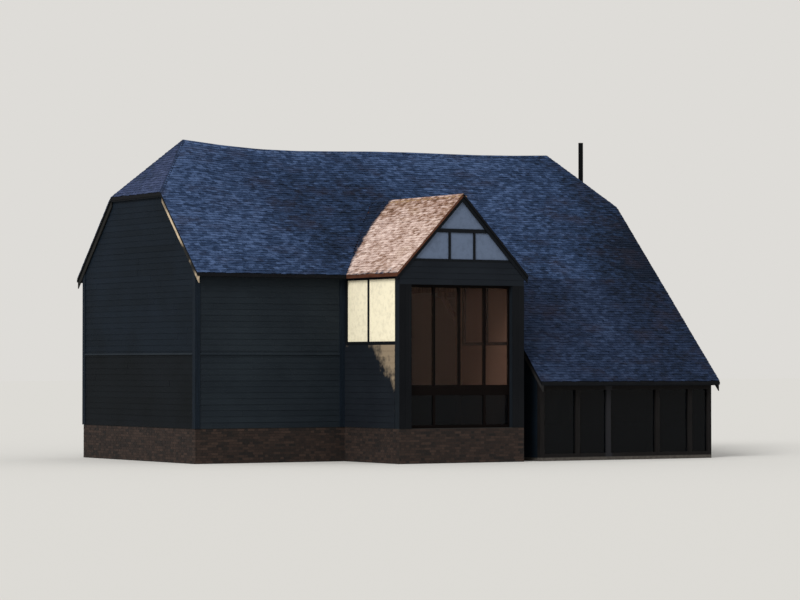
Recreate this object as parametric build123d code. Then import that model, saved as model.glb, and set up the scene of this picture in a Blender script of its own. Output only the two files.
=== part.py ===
"""A timber-framed threshing barn with a half-hipped, sagging roof, a gabled porch and a catslide outshot."""
import os
from functools import cache
from math import cos, floor, pi, radians, sin, tan

from build123d import *

# Main range, in millimetres: x along the front, y from the front into the barn, z up from the lowest ground
length = 16000
width = 7300
plinth_top = 1000
eave_height = 5400
eave_overhang = 300
verge_overhang = 100
roof_pitch = radians(46)
roof_depth = 80
wall = 180
plinth_thickness = 300
floor_thickness = 150

# Half-hips at the two ends, and the sag of the old ridge between them: one long hollow, deeper to the left
hip_above_eave = 2385
hip_pitch = radians(47)
long_sag = 160
left_sag = 55
short_sag = 45
sag_bays = 10

# Gabled porch on the front
porch_left = 4900
porch_width = 4240
porch_depth = 3050
porch_eave_overhang = 120
porch_verge_overhang = 70
corner_post_width = 400
corner_post_depth = 240
band_above_eave = 360
band_depth = 660
gable_rail_depth = 80
collar_above_rail = 760
collar_depth = 110
stud_width = 70
gable_stud_spacing = 840
panel_set_back = 30
panel_thickness = 90
side_plate_below_eave = 140
side_panel_height = 1780
side_rail_depth = 100
side_stud_place = 1324
wall_stud_width = 140

# Glazed screen in the porch front
screen_thickness = 90
mullion_width = 70
screen_bays = 4
head_depth = 80
sill_depth = 90
lower_light_height = 850
transom_depth = 290
glass_thickness = 20

# Catslide outshot to the right of the porch, with a narrow open slot between them; its bays are unequal
slot_width = 610
outshot_depth = 3000
outshot_verge_overhang = 150
outshot_plinth_top = 100
outshot_beam_depth = 450
outshot_post_width = 150
outshot_bay_shares = [1265, 1110, 1790, 1210, 725]
outshot_sill_depth = 110

# Timber frame inside
post_size = 250
tie_depth = 250
plate_seat_below_eave = 150
end_frame_from_right = 3400
truss_width = 150
principal_depth = 220
principal_foot_width = 250
inner_collar_drop = 1500
inner_collar_depth = 160
purlin_from_ridge = 1950
purlin_width = 150
purlin_depth = 160
brace_reach = 900
brace_depth = 180
brace_width = 100

# Doors in the rear wall, opposite the porch
rear_door_height = 3700
rear_door_thickness = 60
rear_door_set_back = 60
leaf_gap = 4
cover_strip_width = 70
cover_strip_thickness = 20

# Boards along verges, eaves and corners
barge_thickness = 30
barge_depth = 190
porch_barge_depth = 140
barge_set_in = 35
eaves_board_thickness = 25
eaves_board_depth = 40
hip_board_depth = 40
eaves_board_set_in = 20
corner_board_width = 130
corner_board_thickness = 35
junction_board_width = 180

# Ridge and hip tiles, and the flue
ridge_radius = 130
ridge_flats = 10
hip_radius = 80
mitre_gap = 1
seat_gap = 0.3
flue_radius = 75
flue_from_right = 500
flue_before_ridge = 500
flue_above_ridge = 410

# Worked out from the sizes above
slope = tan(roof_pitch)
middle = width / 2
half_span = middle + eave_overhang
ridge_height = eave_height + half_span * slope
hip_eave_height = eave_height + hip_above_eave
hip_run = (ridge_height - hip_eave_height) / tan(hip_pitch)
hip_half_width = (ridge_height - hip_eave_height) / slope
roof_left = -verge_overhang
roof_right = length + verge_overhang
ridge_start = roof_left + hip_run
ridge_end = roof_right - hip_run
sag_bay = (ridge_end - ridge_start) / sag_bays
porch_right = porch_left + porch_width
porch_middle = porch_left + porch_width / 2
porch_half_span = porch_width / 2 + porch_eave_overhang
porch_ridge = eave_height + porch_half_span * slope
notch_left = porch_middle - porch_half_span
notch_right = porch_middle + porch_half_span
porch_front = -porch_depth - porch_verge_overhang
band_top = eave_height + band_above_eave
band_bottom = band_top - band_depth
side_plate_bottom = eave_height - side_plate_below_eave
side_rail_top = side_plate_bottom - side_panel_height
side_rail_bottom = side_rail_top - side_rail_depth
opening_left = porch_left + corner_post_width
opening_right = porch_right - corner_post_width
screen_back = corner_post_depth - porch_depth
outshot_left = porch_right + slot_width
catslide_left = outshot_left - outshot_verge_overhang
catslide_eave = -outshot_depth - eave_overhang
rear_eave = width + eave_overhang
tie_top = eave_height - plate_seat_below_eave
tie_bottom = tie_top - tie_depth
barge_reach = barge_set_in + barge_thickness
frame_lines = [porch_left, porch_right - post_size, length - end_frame_from_right]
centre = Vector(length / 2, (catslide_eave + rear_eave) / 2, 0)


def block(x, y, z):
    """Box from its two limits along each axis."""
    size = [high - low for low, high in (x, y, z)]
    return Pos(*[(low + high) / 2 for low, high in (x, y, z)]) * Box(*size)


def along_x(outline, start, end):
    """Solid with an outline of (y, z) points, from start to end along x."""
    return extrude(Plane.YZ.offset(start) * Polygon(*outline, align=None), amount=end - start, dir=(1, 0, 0))


def along_y(outline, start, end):
    """Solid with an outline of (x, z) points, from start to end along y."""
    return extrude(Plane.XZ.offset(-end) * Polygon(*outline, align=None), amount=end - start, dir=(0, -1, 0))


def rod(start, end, radius):
    """Round bar between two points."""
    start, end = Vector(*start), Vector(*end)
    bar = Cylinder(radius, (end - start).length, align=(Align.CENTER, Align.CENTER, Align.MIN))
    return Plane(origin=start, z_dir=end - start) * bar


def across_porch(solid):
    """The same piece on the other side of the porch."""
    return mirror(solid, about=Plane.YZ.offset(porch_middle))


def across_length(solid):
    """The same piece at the other end of the main range."""
    return mirror(solid, about=Plane.YZ.offset(length / 2))


def across_width(solid):
    """The same piece on the other side of the ridge."""
    return mirror(solid, about=Plane.XZ.offset(-middle))


def sag(along):
    """How far the ridge lies below its ends, at a share of its length: waves of one, two and three halves."""
    return long_sag * sin(pi * along) + left_sag * sin(2 * pi * along) + short_sag * sin(3 * pi * along)


def bay_at(x):
    """Share of its bay left of x, and how far the ridge rises over the eaves at the bay's two ends."""
    place = min(max((x - ridge_start) / sag_bay, 0), sag_bays)
    bay = min(floor(place), sag_bays - 1)
    near, far = [ridge_height - eave_height - sag(end / sag_bays) for end in (bay, bay + 1)]
    return place - bay, near, far


def main_top(x, y):
    """Height of the main roof, and of the catslide that runs on past the front eave.

    Each bay of a main slope is two flat facets, which meet on the diagonal from the left end of the eave.
    """
    if y < -eave_overhang:
        return eave_height + (y + eave_overhang) * slope
    share, near, far = bay_at(x)
    up = 1 - abs(y - middle) / half_span
    return eave_height + (up * far if up <= share else share * (far - near) + up * near)


def ridge_at(x):
    """Height of the ridge, straight between the ends of its sagging bays."""
    return main_top(x, middle)


def main_under(x, y):
    """Height of the underside of the main roof and catslide."""
    return main_top(x, y) - roof_depth


def porch_under(x):
    """Height of the underside of the porch roof."""
    return porch_ridge - abs(x - porch_middle) * slope - roof_depth


def valley(x):
    """Where the porch slope meets the main slope, or the main eave beside the porch."""
    rise = max(0, porch_half_span - abs(x - porch_middle)) * slope
    share, near, far = bay_at(x)
    up = rise / far if rise <= share * far else (rise - share * (far - near)) / near
    return up * half_span - eave_overhang


def hip_line(x):
    """Where the hip lies across the barn beside a half-hip."""
    return middle - hip_half_width * max(ridge_start - x, x - ridge_end) / hip_run


stations = [ridge_start + sag_bay * bay for bay in range(sag_bays + 1)]
left_hip = [(roof_left, hip_line(roof_left)), (ridge_start, middle), (roof_left, width - hip_line(roof_left))]
porch_apex = (porch_middle, -porch_depth, porch_ridge)


def stretch(start, end):
    """Places along x where the roof bends, from start to end."""
    return [start, *[x for x in stations if start < x < end], end]


def front_facets():
    """Plans of the flat facets of the front main slope: one at each end, and two in each bay between."""
    eave, hip = -eave_overhang, hip_line(roof_left)
    facets = [[(roof_left, eave), (ridge_start, eave), (ridge_start, middle), (roof_left, hip)],
              [(ridge_end, eave), (roof_right, eave), (roof_right, hip), (ridge_end, middle)]]
    for near, far in zip(stations, stations[1:]):
        facets += [[(near, eave), (far, eave), (far, middle)], [(near, eave), (far, middle), (near, middle)]]
    return facets


def front_slope(drop, depth):
    """Solid of even depth whose top is the front main slope lowered by a drop, cut plumb at every edge."""
    tops = [make_face(Polyline(*[(x, y, main_top(x, y) - drop) for x, y in plan], close=True))
            for plan in front_facets()]
    pieces = [extrude(top, amount=depth, dir=(0, 0, -1)) for top in tops]
    return pieces[0].fuse(*pieces[1:])


@cache
def below_main(drop):
    """Everything below both main slopes lowered by a drop."""
    front = front_slope(drop, ridge_height)
    return front + across_width(front)


def up_to_roof(start, end, near, far, low):
    """Piece along x between two faces, from a level up to its seat under the roof."""
    return block((start, end), (near, far), (low, ridge_height)) & below_main(roof_depth + seat_gap)


def under_roof(start, end, near, far, depth):
    """Piece along x seated under the roof between two faces, of even depth."""
    return up_to_roof(start, end, near, far, plinth_top) - below_main(roof_depth + seat_gap + depth)


def column(plan):
    """Everything over a plan outline, up past the ridge."""
    return extrude(Polygon(*plan, align=None), amount=ridge_height + 2 * ridge_radius, dir=(0, 0, 1))


def under_slope(plan, point, fall, pitch):
    """Everything over a plan outline that lies below a plane falling away from a point."""
    facing = Vector(fall[0] * sin(pitch), fall[1] * sin(pitch), cos(pitch))
    return split(column(plan), bisect_by=Plane(origin=point, z_dir=facing), keep=Keep.BOTTOM)


def flat_slab(plan, point, fall, pitch):
    """Flat roof slope of even depth over a plan outline, cut plumb at every edge."""
    lowered = (point[0], point[1], point[2] - roof_depth)
    return under_slope(plan, point, fall, pitch) - under_slope(plan, lowered, fall, pitch)


def under_half_hip(drop):
    """Everything at the left end below the half-hip and both main slopes, each lowered by a drop."""
    crown = (ridge_start, middle, ridge_height - drop)
    plan = [(roof_left, 0), (ridge_start, 0), (ridge_start, width), (roof_left, width)]
    main = under_slope(plan, crown, (0, -1), roof_pitch) & under_slope(plan, crown, (0, 1), roof_pitch)
    return main & under_slope(plan, crown, (-1, 0), hip_pitch)


def valley_line(start, end):
    """The valley on one side of the porch, bent where it crosses a bay's end or the crease across a bay."""
    places = stretch(start, end)
    bends = list(places)
    for near, far in zip(places, places[1:]):
        x = (near + far) / 2
        share, _, far_rise = bay_at(x)
        side = 1 if x < porch_middle else -1
        over_crease = (porch_half_span - abs(x - porch_middle)) * slope - share * far_rise
        crossing = x - over_crease / (side * slope - far_rise / sag_bay)
        if near < crossing < far:
            bends.append(crossing)
    return [(x, valley(x)) for x in sorted(bends)]


def roof():
    """Tiled slopes, cut plumb so that ridge, hips and valleys are mitres."""
    left_valley = valley_line(notch_left, porch_middle)
    right_valley = valley_line(porch_middle, notch_right)
    left_plan = [(notch_left, porch_front), (porch_middle, porch_front), *reversed(left_valley)]
    right_plan = [(porch_middle, porch_front), (notch_right, porch_front), *reversed(right_valley)]
    half_hip = flat_slab(left_hip, (roof_left, middle, hip_eave_height), (-1, 0), hip_pitch)
    slab = front_slope(0, roof_depth)
    low, high = catslide_eave, -eave_overhang
    return {
        "front_roof": slab - column([*left_valley, *right_valley[1:]]),
        "rear_roof": across_width(slab),
        "catslide_roof": along_x([(low, main_under(length, low)), (high, main_under(length, high)),
                                  (high, main_top(length, high)), (low, main_top(length, low))],
                                 catslide_left, roof_right),
        "left_half_hip": half_hip,
        "right_half_hip": across_length(half_hip),
        "porch_roof_left": flat_slab(left_plan, porch_apex, (-1, 0), roof_pitch),
        "porch_roof_right": flat_slab(right_plan, porch_apex, (1, 0), roof_pitch),
    }


def ridge_length(start, end):
    """Round ridge tiles over one bay, an arch of flats that starts below the slopes."""
    top, foot = ridge_at(start), ridge_radius * slope
    angles = [pi * side / ridge_flats for side in range(ridge_flats + 1)]
    arch = [(middle + ridge_radius * cos(angle), top - foot + (foot + ridge_radius / 2) * sin(angle))
            for angle in angles]
    section = Plane.YZ.offset(start) * make_face(Polyline(*arch, close=True))
    along = Vector(end - start, 0, ridge_at(end) - top)
    return extrude(section, amount=along.length, dir=along.normalized())


def ridge_and_hip_tiles():
    """Round capping along both ridges, and bonnet tiles down the four hips."""
    joint = seat_gap / 2
    ridge = [ridge_length(start + joint, end - joint) - below_main(-seat_gap)
             for start, end in zip(stations, stations[1:])]
    end = (porch_middle, valley(porch_middle) + ridge_radius, porch_ridge)
    bar = rod((porch_middle, porch_front, porch_ridge), end, ridge_radius) - below_main(-mitre_gap)
    plan = [(notch_left, porch_front), (notch_right, porch_front), (notch_right, middle),
            (notch_left, middle)]
    left_half, right_half = [under_slope(plan, porch_apex, (side, 0), roof_pitch) for side in (-1, 1)]
    bar -= left_half & right_half
    tall = (hip_eave_height - hip_radius, ridge_height + 2 * hip_radius)
    hip = rod((*left_hip[0], hip_eave_height), (ridge_start, middle, ridge_height), hip_radius)
    hip = (hip & block((roof_left, ridge_start), (0, middle - mitre_gap / 2), tall)) - under_half_hip(0)
    pair = [hip, across_width(hip)]
    return {"main_ridge_tiles": ridge, "porch_ridge_tiles": bar,
            "hip_tiles": pair + [across_length(hip) for hip in pair]}


def plinths():
    """Brick footing of every wall, down to the lowest ground."""
    deep = (0, plinth_top)
    inner = plinth_thickness
    side = block((porch_left, porch_left + inner), (inner - porch_depth, inner), deep)
    return {
        "left_plinth": block((0, inner), (0, width), deep),
        "front_plinth": block((inner, porch_left), (0, inner), deep),
        "rear_plinth": block((inner, length - inner), (width - inner, width), deep),
        "right_plinth": block((length - inner, length), (0, width), deep),
        "aisle_plinth": block((porch_right, length - inner), (0, inner), deep),
        "porch_side_plinths": [side, across_porch(side)],
        "porch_front_plinth": block((porch_left, porch_right), (-porch_depth, inner - porch_depth), deep),
    }


def floors():
    """Threshing floor, porch floor and the lower outshot floor."""
    level = (plinth_top - floor_thickness, plinth_top)
    inner = plinth_thickness
    return {
        "threshing_floor": block((inner, length - inner), (inner, width - inner), level),
        "porch_floor": block((porch_left + inner, porch_right - inner), (inner - porch_depth, inner), level),
        "outshot_floor": block((outshot_left, length), (-outshot_depth, 0), (0, outshot_plinth_top)),
    }


def main_walls():
    """Boarded walls of the main range: gables cut level under the half-hips, the rear doorway left open."""
    face = width - wall
    cut = hip_eave_height + verge_overhang * tan(hip_pitch) - roof_depth
    reach = (ridge_height - roof_depth - cut) / slope
    gable = along_x([(0, plinth_top), (width, plinth_top), (width, main_under(0, width)),
                     (middle + reach, cut), (middle - reach, cut), (0, main_under(0, 0))], 0, wall)
    return {
        "front_wall": up_to_roof(wall, porch_left, 0, wall, plinth_top),
        "slot_wall": block((porch_right, outshot_left), (0, wall), (plinth_top, tie_top)),
        "left_gable_wall": gable,
        "right_gable_wall": across_length(gable),
        "rear_walls": [up_to_roof(wall, opening_left, face, width, plinth_top),
                       up_to_roof(opening_right, length - wall, face, width, plinth_top)],
        "rear_wall_over": up_to_roof(opening_left, opening_right, face, width, plinth_top + rear_door_height),
    }


def rear_doors():
    """Pair of tall boarded doors opposite the porch, with a strip over the joint between them."""
    depth = (width - rear_door_set_back - rear_door_thickness, width - rear_door_set_back)
    height = (plinth_top, plinth_top + rear_door_height)
    left = block((opening_left, porch_middle - leaf_gap / 2), depth, height)
    half, face = cover_strip_width / 2, depth[1] + seat_gap
    strip = block((porch_middle - half, porch_middle + half), (face, face + cover_strip_thickness), height)
    strip += block((porch_middle + leaf_gap / 2, porch_middle + half), (depth[1], face), height)
    return {"rear_door_left": left, "rear_door_right": across_porch(left) + strip}


def porch_sides():
    """Boarding, timbers and pale panels of the two side walls of the porch."""
    x = (porch_left, porch_left + wall)
    panel_faces = (porch_left + panel_set_back, porch_left + panel_set_back + panel_thickness)
    run = (screen_back, 0)
    stud_faces = (-side_stud_place - stud_width / 2, -side_stud_place + stud_width / 2)
    height = (side_rail_top, side_plate_bottom)
    frame = along_y([(x[0], side_plate_bottom), (x[1], side_plate_bottom), (x[1], porch_under(x[1])),
                     (x[0], porch_under(x[0]))], *run)
    frame += block(x, stud_faces, height)
    frame += block(x, (-wall_stud_width, 0), height)
    frame += block(x, run, (side_rail_bottom, side_rail_top))
    boarding = block(x, run, (plinth_top, side_rail_bottom))
    panels = [block(panel_faces, (screen_back, stud_faces[0]), height),
              block(panel_faces, (stud_faces[1], -wall_stud_width), height)]
    return {"porch_side_boarding": [boarding, across_porch(boarding)],
            "porch_side_frames": [frame, across_porch(frame)],
            "porch_side_panels": panels + [across_porch(panel) for panel in panels]}


def gable_strip(low, high, depth):
    """Part of the porch gable between two heights, as wide as its roof allows."""
    peak = porch_under(porch_middle)
    lower, upper = (peak - low) / slope, (peak - high) / slope
    return along_y([(porch_middle - lower, low), (porch_middle + lower, low), (porch_middle + upper, high),
                    (porch_middle - upper, high)], *depth)


def porch_front_wall():
    """Corner posts, boarded band, gable timbers and pale panels."""
    face = (-porch_depth, screen_back)
    panel_faces = (panel_set_back - porch_depth, panel_set_back + panel_thickness - porch_depth)
    post = block((porch_left, opening_left), face, (plinth_top, band_bottom))
    peak = porch_under(porch_middle)
    band_half = (peak - band_top) / slope
    band = along_y([(porch_left, band_bottom), (porch_right, band_bottom),
                    (porch_right, porch_under(porch_right)), (porch_middle + band_half, band_top),
                    (porch_middle - band_half, band_top), (porch_left, porch_under(porch_left))], *face)
    rail_top = band_top + gable_rail_depth
    collar_bottom = rail_top + collar_above_rail
    collar_top = collar_bottom + collar_depth
    stud_middle = porch_middle - gable_stud_spacing / 2
    half = stud_width / 2
    stud = block((stud_middle - half, stud_middle + half), face, (rail_top, collar_bottom))
    studs = [stud, across_porch(stud)]
    rails = gable_strip(band_top, rail_top, face) + gable_strip(collar_bottom, collar_top, face)
    half = (peak - collar_top) / slope
    upper = along_y([(porch_middle - half, collar_top), (porch_middle + half, collar_top),
                     (porch_middle, peak)], *panel_faces)
    return {
        "porch_corner_posts": [post, across_porch(post)],
        "porch_band": band,
        "porch_gable_frame": rails + studs,
        "porch_gable_panels": [upper, gable_strip(rail_top, collar_bottom, panel_faces) - studs],
    }


def porch_screen():
    """Glazed screen between the corner posts: tall lights over a deep transom, and low lights under it."""
    depth = (screen_back - screen_thickness, screen_back)
    low = plinth_top + sill_depth
    transom_bottom = low + lower_light_height
    tall = (transom_bottom + transom_depth, band_bottom - head_depth)
    short = (low, transom_bottom)
    bay = (opening_right - opening_left) / screen_bays
    inset = mullion_width / 2
    edges = [(opening_left + bay * number + inset, opening_left + bay * (number + 1) - inset)
             for number in range(screen_bays)]
    wide = (edges[1][0], edges[-2][1])
    lights = [(x, tall) for x in edges] + [(edges[0], short), (wide, short), (edges[-1], short)]
    frame = block((opening_left, opening_right), depth, (plinth_top, band_bottom))
    for x, z in lights:
        frame -= block(x, depth, z)
    pane_front = screen_back - (screen_thickness + glass_thickness) / 2
    panes = [block(x, (pane_front, pane_front + glass_thickness), z) for x, z in lights]
    return {"porch_screen_frame": frame, "porch_screen_glass": panes}


def outshot():
    """Posts, beam, glazing and boarded side walls under the catslide."""
    face = (-outshot_depth, outshot_post_width - outshot_depth)
    half = outshot_post_width / 2
    low = outshot_plinth_top
    sill_top = low + outshot_sill_depth
    beam_bottom = main_under(length, face[0]) - outshot_beam_depth
    run = (length - outshot_left - outshot_post_width) / sum(outshot_bay_shares)
    places = [outshot_left + half + run * sum(outshot_bay_shares[:number])
              for number in range(len(outshot_bay_shares) + 1)]
    bays = [(near + half, far - half) for near, far in zip(places, places[1:])]
    pane_front = face[0] + half - glass_thickness / 2
    pane = (pane_front, pane_front + glass_thickness)
    top = [main_under(length, y) for y in (*face, -eave_overhang, 0)]
    left_wall = along_x([(face[1], low), (-eave_overhang, low), (-eave_overhang, top[2] - seat_gap),
                         (face[1], top[1] - seat_gap)], outshot_left, outshot_left + wall)
    left_wall += up_to_roof(outshot_left, outshot_left + wall, -eave_overhang, 0, low)
    return {
        "outshot_posts": [block((x - half, x + half), face, (low, beam_bottom)) for x in places],
        "outshot_beam": along_x([(face[0], beam_bottom), (face[1], beam_bottom), (face[1], top[1]),
                                 (face[0], top[0])], outshot_left, length),
        "outshot_sills": [block(bay, face, (low, sill_top)) for bay in bays],
        "outshot_glass": [block(bay, pane, (sill_top, beam_bottom)) for bay in bays],
        "outshot_left_wall": left_wall,
        "outshot_right_wall": along_x([(face[1], low), (0, low), (0, top[3]), (face[1], top[1])],
                                      length - wall, length),
    }


def truss(left):
    """Pair of principal rafters with a collar, seated on a tie beam and under the purlins."""
    right = left + truss_width
    drop = roof_depth + purlin_depth + 2 * seat_gap
    peak = min(ridge_at(left), ridge_at(right)) - drop
    fall = (peak + drop - eave_height) / half_span
    reach = middle - wall
    heel = reach - principal_foot_width
    inner_peak = peak - principal_depth
    knee = inner_peak - heel * fall
    collar_top = peak - inner_collar_drop
    collar_bottom = collar_top - inner_collar_depth
    top_reach, low_reach = (inner_peak - collar_top) / fall, (inner_peak - collar_bottom) / fall
    pair = along_x([(middle - reach, tie_top), (middle - heel, tie_top), (middle - heel, knee),
                    (middle, inner_peak), (middle + heel, knee), (middle + heel, tie_top),
                    (middle + reach, tie_top), (middle + reach, peak), (middle - reach, peak)], left, right)
    pair = pair & below_main(drop)
    return pair + along_x([(middle - low_reach, collar_bottom), (middle + low_reach, collar_bottom),
                           (middle + top_reach, collar_top), (middle - top_reach, collar_top)], left, right)


def timber_frame():
    """On each frame line a post, tie beam, brace and truss, with purlins and the front plate between them."""
    lines = [(x, x + post_size) for x in frame_lines]
    long_reach = brace_reach + brace_depth
    brace = [(post_size, tie_bottom - long_reach), (post_size + long_reach, tie_bottom),
             (post_size + brace_reach, tie_bottom), (post_size, tie_bottom - brace_reach)]
    brace_inset, truss_inset = (post_size - brace_width) / 2, (post_size - truss_width) / 2
    purlin_face = middle - purlin_from_ridge
    purlin = under_roof(wall, length - wall, purlin_face - purlin_width, purlin_face, purlin_depth)
    return {
        "arcade_posts": [block(line, (0, post_size), (plinth_top, tie_bottom)) for line in lines],
        "tie_beams": [block(line, (0, width - wall), (tie_bottom, tie_top)) for line in lines],
        "braces": [along_x(brace, x + brace_inset, x + brace_inset + brace_width) for x in frame_lines],
        "roof_trusses": [truss(x + truss_inset) for x in frame_lines],
        "purlins": [purlin, across_width(purlin)],
        "front_plate": up_to_roof(porch_left, length - wall, 0, wall, tie_top),
    }


def bargeboards():
    """Boards under the verges of both ends, of the catslide and of the porch gable."""
    hip_foot = hip_line(roof_left)

    def board(start, low, high):
        """Board under a straight verge, between two places across the barn."""
        low_top, high_top = main_under(start, low), main_under(start, high)
        return along_x([(low, low_top - barge_depth), (high, high_top - barge_depth), (high, high_top),
                        (low, low_top)], start, start + barge_thickness)

    left_start, right_start = roof_left + barge_set_in, roof_right - barge_reach
    left = board(left_start, -eave_overhang, hip_foot)
    edge = porch_front + barge_set_in
    top = porch_under(porch_middle)
    low = porch_under(notch_left)
    depth = porch_barge_depth
    porch = along_y([(notch_left, low), (notch_left, low - depth), (porch_middle, top - depth),
                     (notch_right, low - depth), (notch_right, low), (porch_middle, top)],
                    edge, edge + barge_thickness)
    return {
        "left_bargeboards": [left, across_width(left)],
        "right_bargeboards": [board(right_start, catslide_eave, hip_foot), across_length(across_width(left)),
                              board(catslide_left + barge_set_in, catslide_eave, -eave_overhang)],
        "porch_bargeboards": porch,
    }


def eaves_boards():
    """Boards under the eaves of every slope, with the deeper ones under the half-hips."""
    near, far = eaves_board_set_in, eaves_board_set_in + eaves_board_thickness
    left_end, right_end = roof_left + barge_reach, roof_right - barge_reach
    front = (near - eave_overhang, far - eave_overhang)
    boards = [under_roof(left_end, notch_left, *front, eaves_board_depth),
              under_roof(notch_right, catslide_left, *front, eaves_board_depth),
              under_roof(left_end, right_end, rear_eave - far, rear_eave - near, eaves_board_depth)]

    def outline(faces, tops):
        """Cross-section of a board between two faces, under the tops given at them."""
        return [(faces[0], tops[0] - eaves_board_depth), (faces[1], tops[1] - eaves_board_depth),
                (faces[1], tops[1]), (faces[0], tops[0])]

    y = (catslide_eave + near, catslide_eave + far)
    catslide = along_x(outline(y, [main_under(length, place) - seat_gap for place in y]),
                       catslide_left + barge_reach, right_end)
    x = (notch_left + near, notch_left + far)
    tops = [porch_under(place) for place in x]
    porch = along_y(outline(x, tops), porch_front + barge_reach, -eave_overhang)
    low = hip_eave_height - roof_depth - hip_board_depth
    hip = block((roof_left + near, roof_left + far), (hip_line(roof_left), width - hip_line(roof_left)),
                (low, hip_eave_height)) & under_half_hip(roof_depth)
    return boards + [catslide, porch, across_porch(porch), hip, across_length(hip)]


def corner_boards():
    """Boards over the corners of the main range, and the one where its front wall meets the porch."""
    proud, broad = corner_board_thickness, corner_board_width
    height = (plinth_top, main_under(0, -proud))
    corner = [block((-proud, broad), (-proud, 0), height), block((-proud, 0), (seat_gap, broad), height)]
    rear = [across_width(board) for board in corner]
    junction = block((porch_left - junction_board_width, porch_left), (-proud, 0),
                     (plinth_top, porch_under(notch_left)))
    return [*corner, *rear, *[across_length(board) for board in rear], junction]


def flue():
    """Metal flue pipe standing on the right half-hip."""
    x, y = length - flue_from_right, middle - flue_before_ridge
    pipe = rod((x, y, eave_height), (x, y, ridge_height + flue_above_ridge), flue_radius)
    foot = (roof_right, middle, hip_eave_height + seat_gap)
    hip_slope = Plane(origin=foot, z_dir=(sin(hip_pitch), 0, cos(hip_pitch)))
    return split(pipe, bisect_by=hip_slope, keep=Keep.TOP)


def build():
    """Every sub-part of the barn by name."""
    return {**plinths(), **floors(), **main_walls(), **rear_doors(), **porch_sides(), **porch_front_wall(),
            **porch_screen(), **outshot(), **timber_frame(), **roof(), **ridge_and_hip_tiles(),
            **bargeboards(), "eaves_boards": eaves_boards(), "corner_boards": corner_boards(),
            "flue_pipe": flue()}


def write(name, part):
    """Write one sub-part about the centre of the plan."""
    pieces = part if isinstance(part, list) else [part]
    solids = [Pos(-centre) * solid for piece in pieces for solid in piece.solids()]
    export_step(Compound(children=solids) if len(solids) > 1 else solids[0], f"parts/{name}.step")


os.makedirs("parts", exist_ok=True)
for node, part in build().items():
    write(node, part)
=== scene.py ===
"""Dresses the timber-framed threshing barn: peg tiles, weatherboards, brickwork, joinery and the stage."""
import bpy
import numpy as np
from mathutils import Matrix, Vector


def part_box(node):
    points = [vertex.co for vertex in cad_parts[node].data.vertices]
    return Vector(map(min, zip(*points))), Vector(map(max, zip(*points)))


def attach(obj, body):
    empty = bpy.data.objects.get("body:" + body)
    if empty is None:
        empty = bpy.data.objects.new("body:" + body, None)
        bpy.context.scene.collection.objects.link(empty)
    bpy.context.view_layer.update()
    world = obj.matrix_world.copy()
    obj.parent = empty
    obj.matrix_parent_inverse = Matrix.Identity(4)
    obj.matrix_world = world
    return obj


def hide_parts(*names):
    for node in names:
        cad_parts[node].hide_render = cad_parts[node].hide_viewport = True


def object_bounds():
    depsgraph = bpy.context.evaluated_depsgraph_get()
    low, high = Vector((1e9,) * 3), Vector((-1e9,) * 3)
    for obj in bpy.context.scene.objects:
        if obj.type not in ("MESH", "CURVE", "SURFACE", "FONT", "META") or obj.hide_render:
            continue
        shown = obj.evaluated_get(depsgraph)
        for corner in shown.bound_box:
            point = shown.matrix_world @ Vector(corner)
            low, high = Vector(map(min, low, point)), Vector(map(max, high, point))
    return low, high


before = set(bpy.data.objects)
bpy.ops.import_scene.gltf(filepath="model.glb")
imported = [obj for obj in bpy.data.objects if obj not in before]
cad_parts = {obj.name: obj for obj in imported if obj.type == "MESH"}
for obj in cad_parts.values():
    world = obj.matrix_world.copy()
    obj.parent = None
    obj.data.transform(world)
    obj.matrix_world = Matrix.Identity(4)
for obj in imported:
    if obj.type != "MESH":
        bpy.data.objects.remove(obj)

bl_info = {
    "name": "Threshing Barn",
    "version": (1, 0, 0),
    "blender": (4, 5, 0),
    "location": "3D View > Sidebar > Barn",
    "description": "Lays a threshing barn's tiles, boards and bricks over its frame and finishes its timber",
    "category": "Object",
}

# A block's eight corners: left or right, near or far up its slope or wall, inside or outside; and its faces
LEFT_RIGHT = np.array([-1, 1, 1, -1, -1, 1, 1, -1])
FAR_SIDE = np.array([0, 0, 1, 1, 0, 0, 1, 1])
OUTSIDE = np.array([0, 0, 0, 0, 1, 1, 1, 1])
BLOCK_FACES = np.array([[0, 3, 2, 1], [4, 5, 6, 7], [0, 1, 5, 4], [1, 2, 6, 5], [2, 3, 7, 6], [3, 0, 4, 7]])

# Edges of the roofs, their ridges and their eaves, read off the frame
BOX, FRONT, HALF_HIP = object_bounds(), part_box("front_roof"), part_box("left_half_hip")
CATSLIDE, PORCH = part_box("catslide_roof"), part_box("porch_roof_left")
ROOF_LEFT, ROOF_RIGHT, MIDDLE = FRONT[0][0], FRONT[1][0], FRONT[1][1]
EAVE, RIDGE, EAVE_LINE = CATSLIDE[1][2], HALF_HIP[1][2], FRONT[0][1]
RIDGE_LEFT, RIDGE_RIGHT = HALF_HIP[1][0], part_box("right_half_hip")[0][0]
PORCH_LEFT, PORCH_MIDDLE, PORCH_FRONT, PORCH_RIDGE = PORCH[0][0], PORCH[1][0], PORCH[0][1], PORCH[1][2]
CENTRE = (ROOF_LEFT + ROOF_RIGHT) / 2
# Upright depth of a slope's slab, the half-hips' eaves and half their width, and rises for each metre in plan
DEPTH = EAVE - FRONT[0][2]
HIP_EAVE, HIP_HALF = HALF_HIP[0][2] + DEPTH, (HALF_HIP[1][1] - HALF_HIP[0][1]) / 2
FALL, HIP_FALL = (RIDGE - EAVE) / (MIDDLE - EAVE_LINE), (RIDGE - HIP_EAVE) / (RIDGE_LEFT - ROOF_LEFT)
# Thickness of the boarded walls and of the plinths, width of a corner board, and a length past every edge
WALL, PLINTH, CORNER_BOARD, BEYOND = 0.18, 0.3, 0.13, 99.0
# Place along the barn of the outshot's one paler post, its reach, and the height of the porch screen's
# transom
PALE_POST, POST_REACH, TRANSOM = 4.2, 0.12, 2.1

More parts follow.
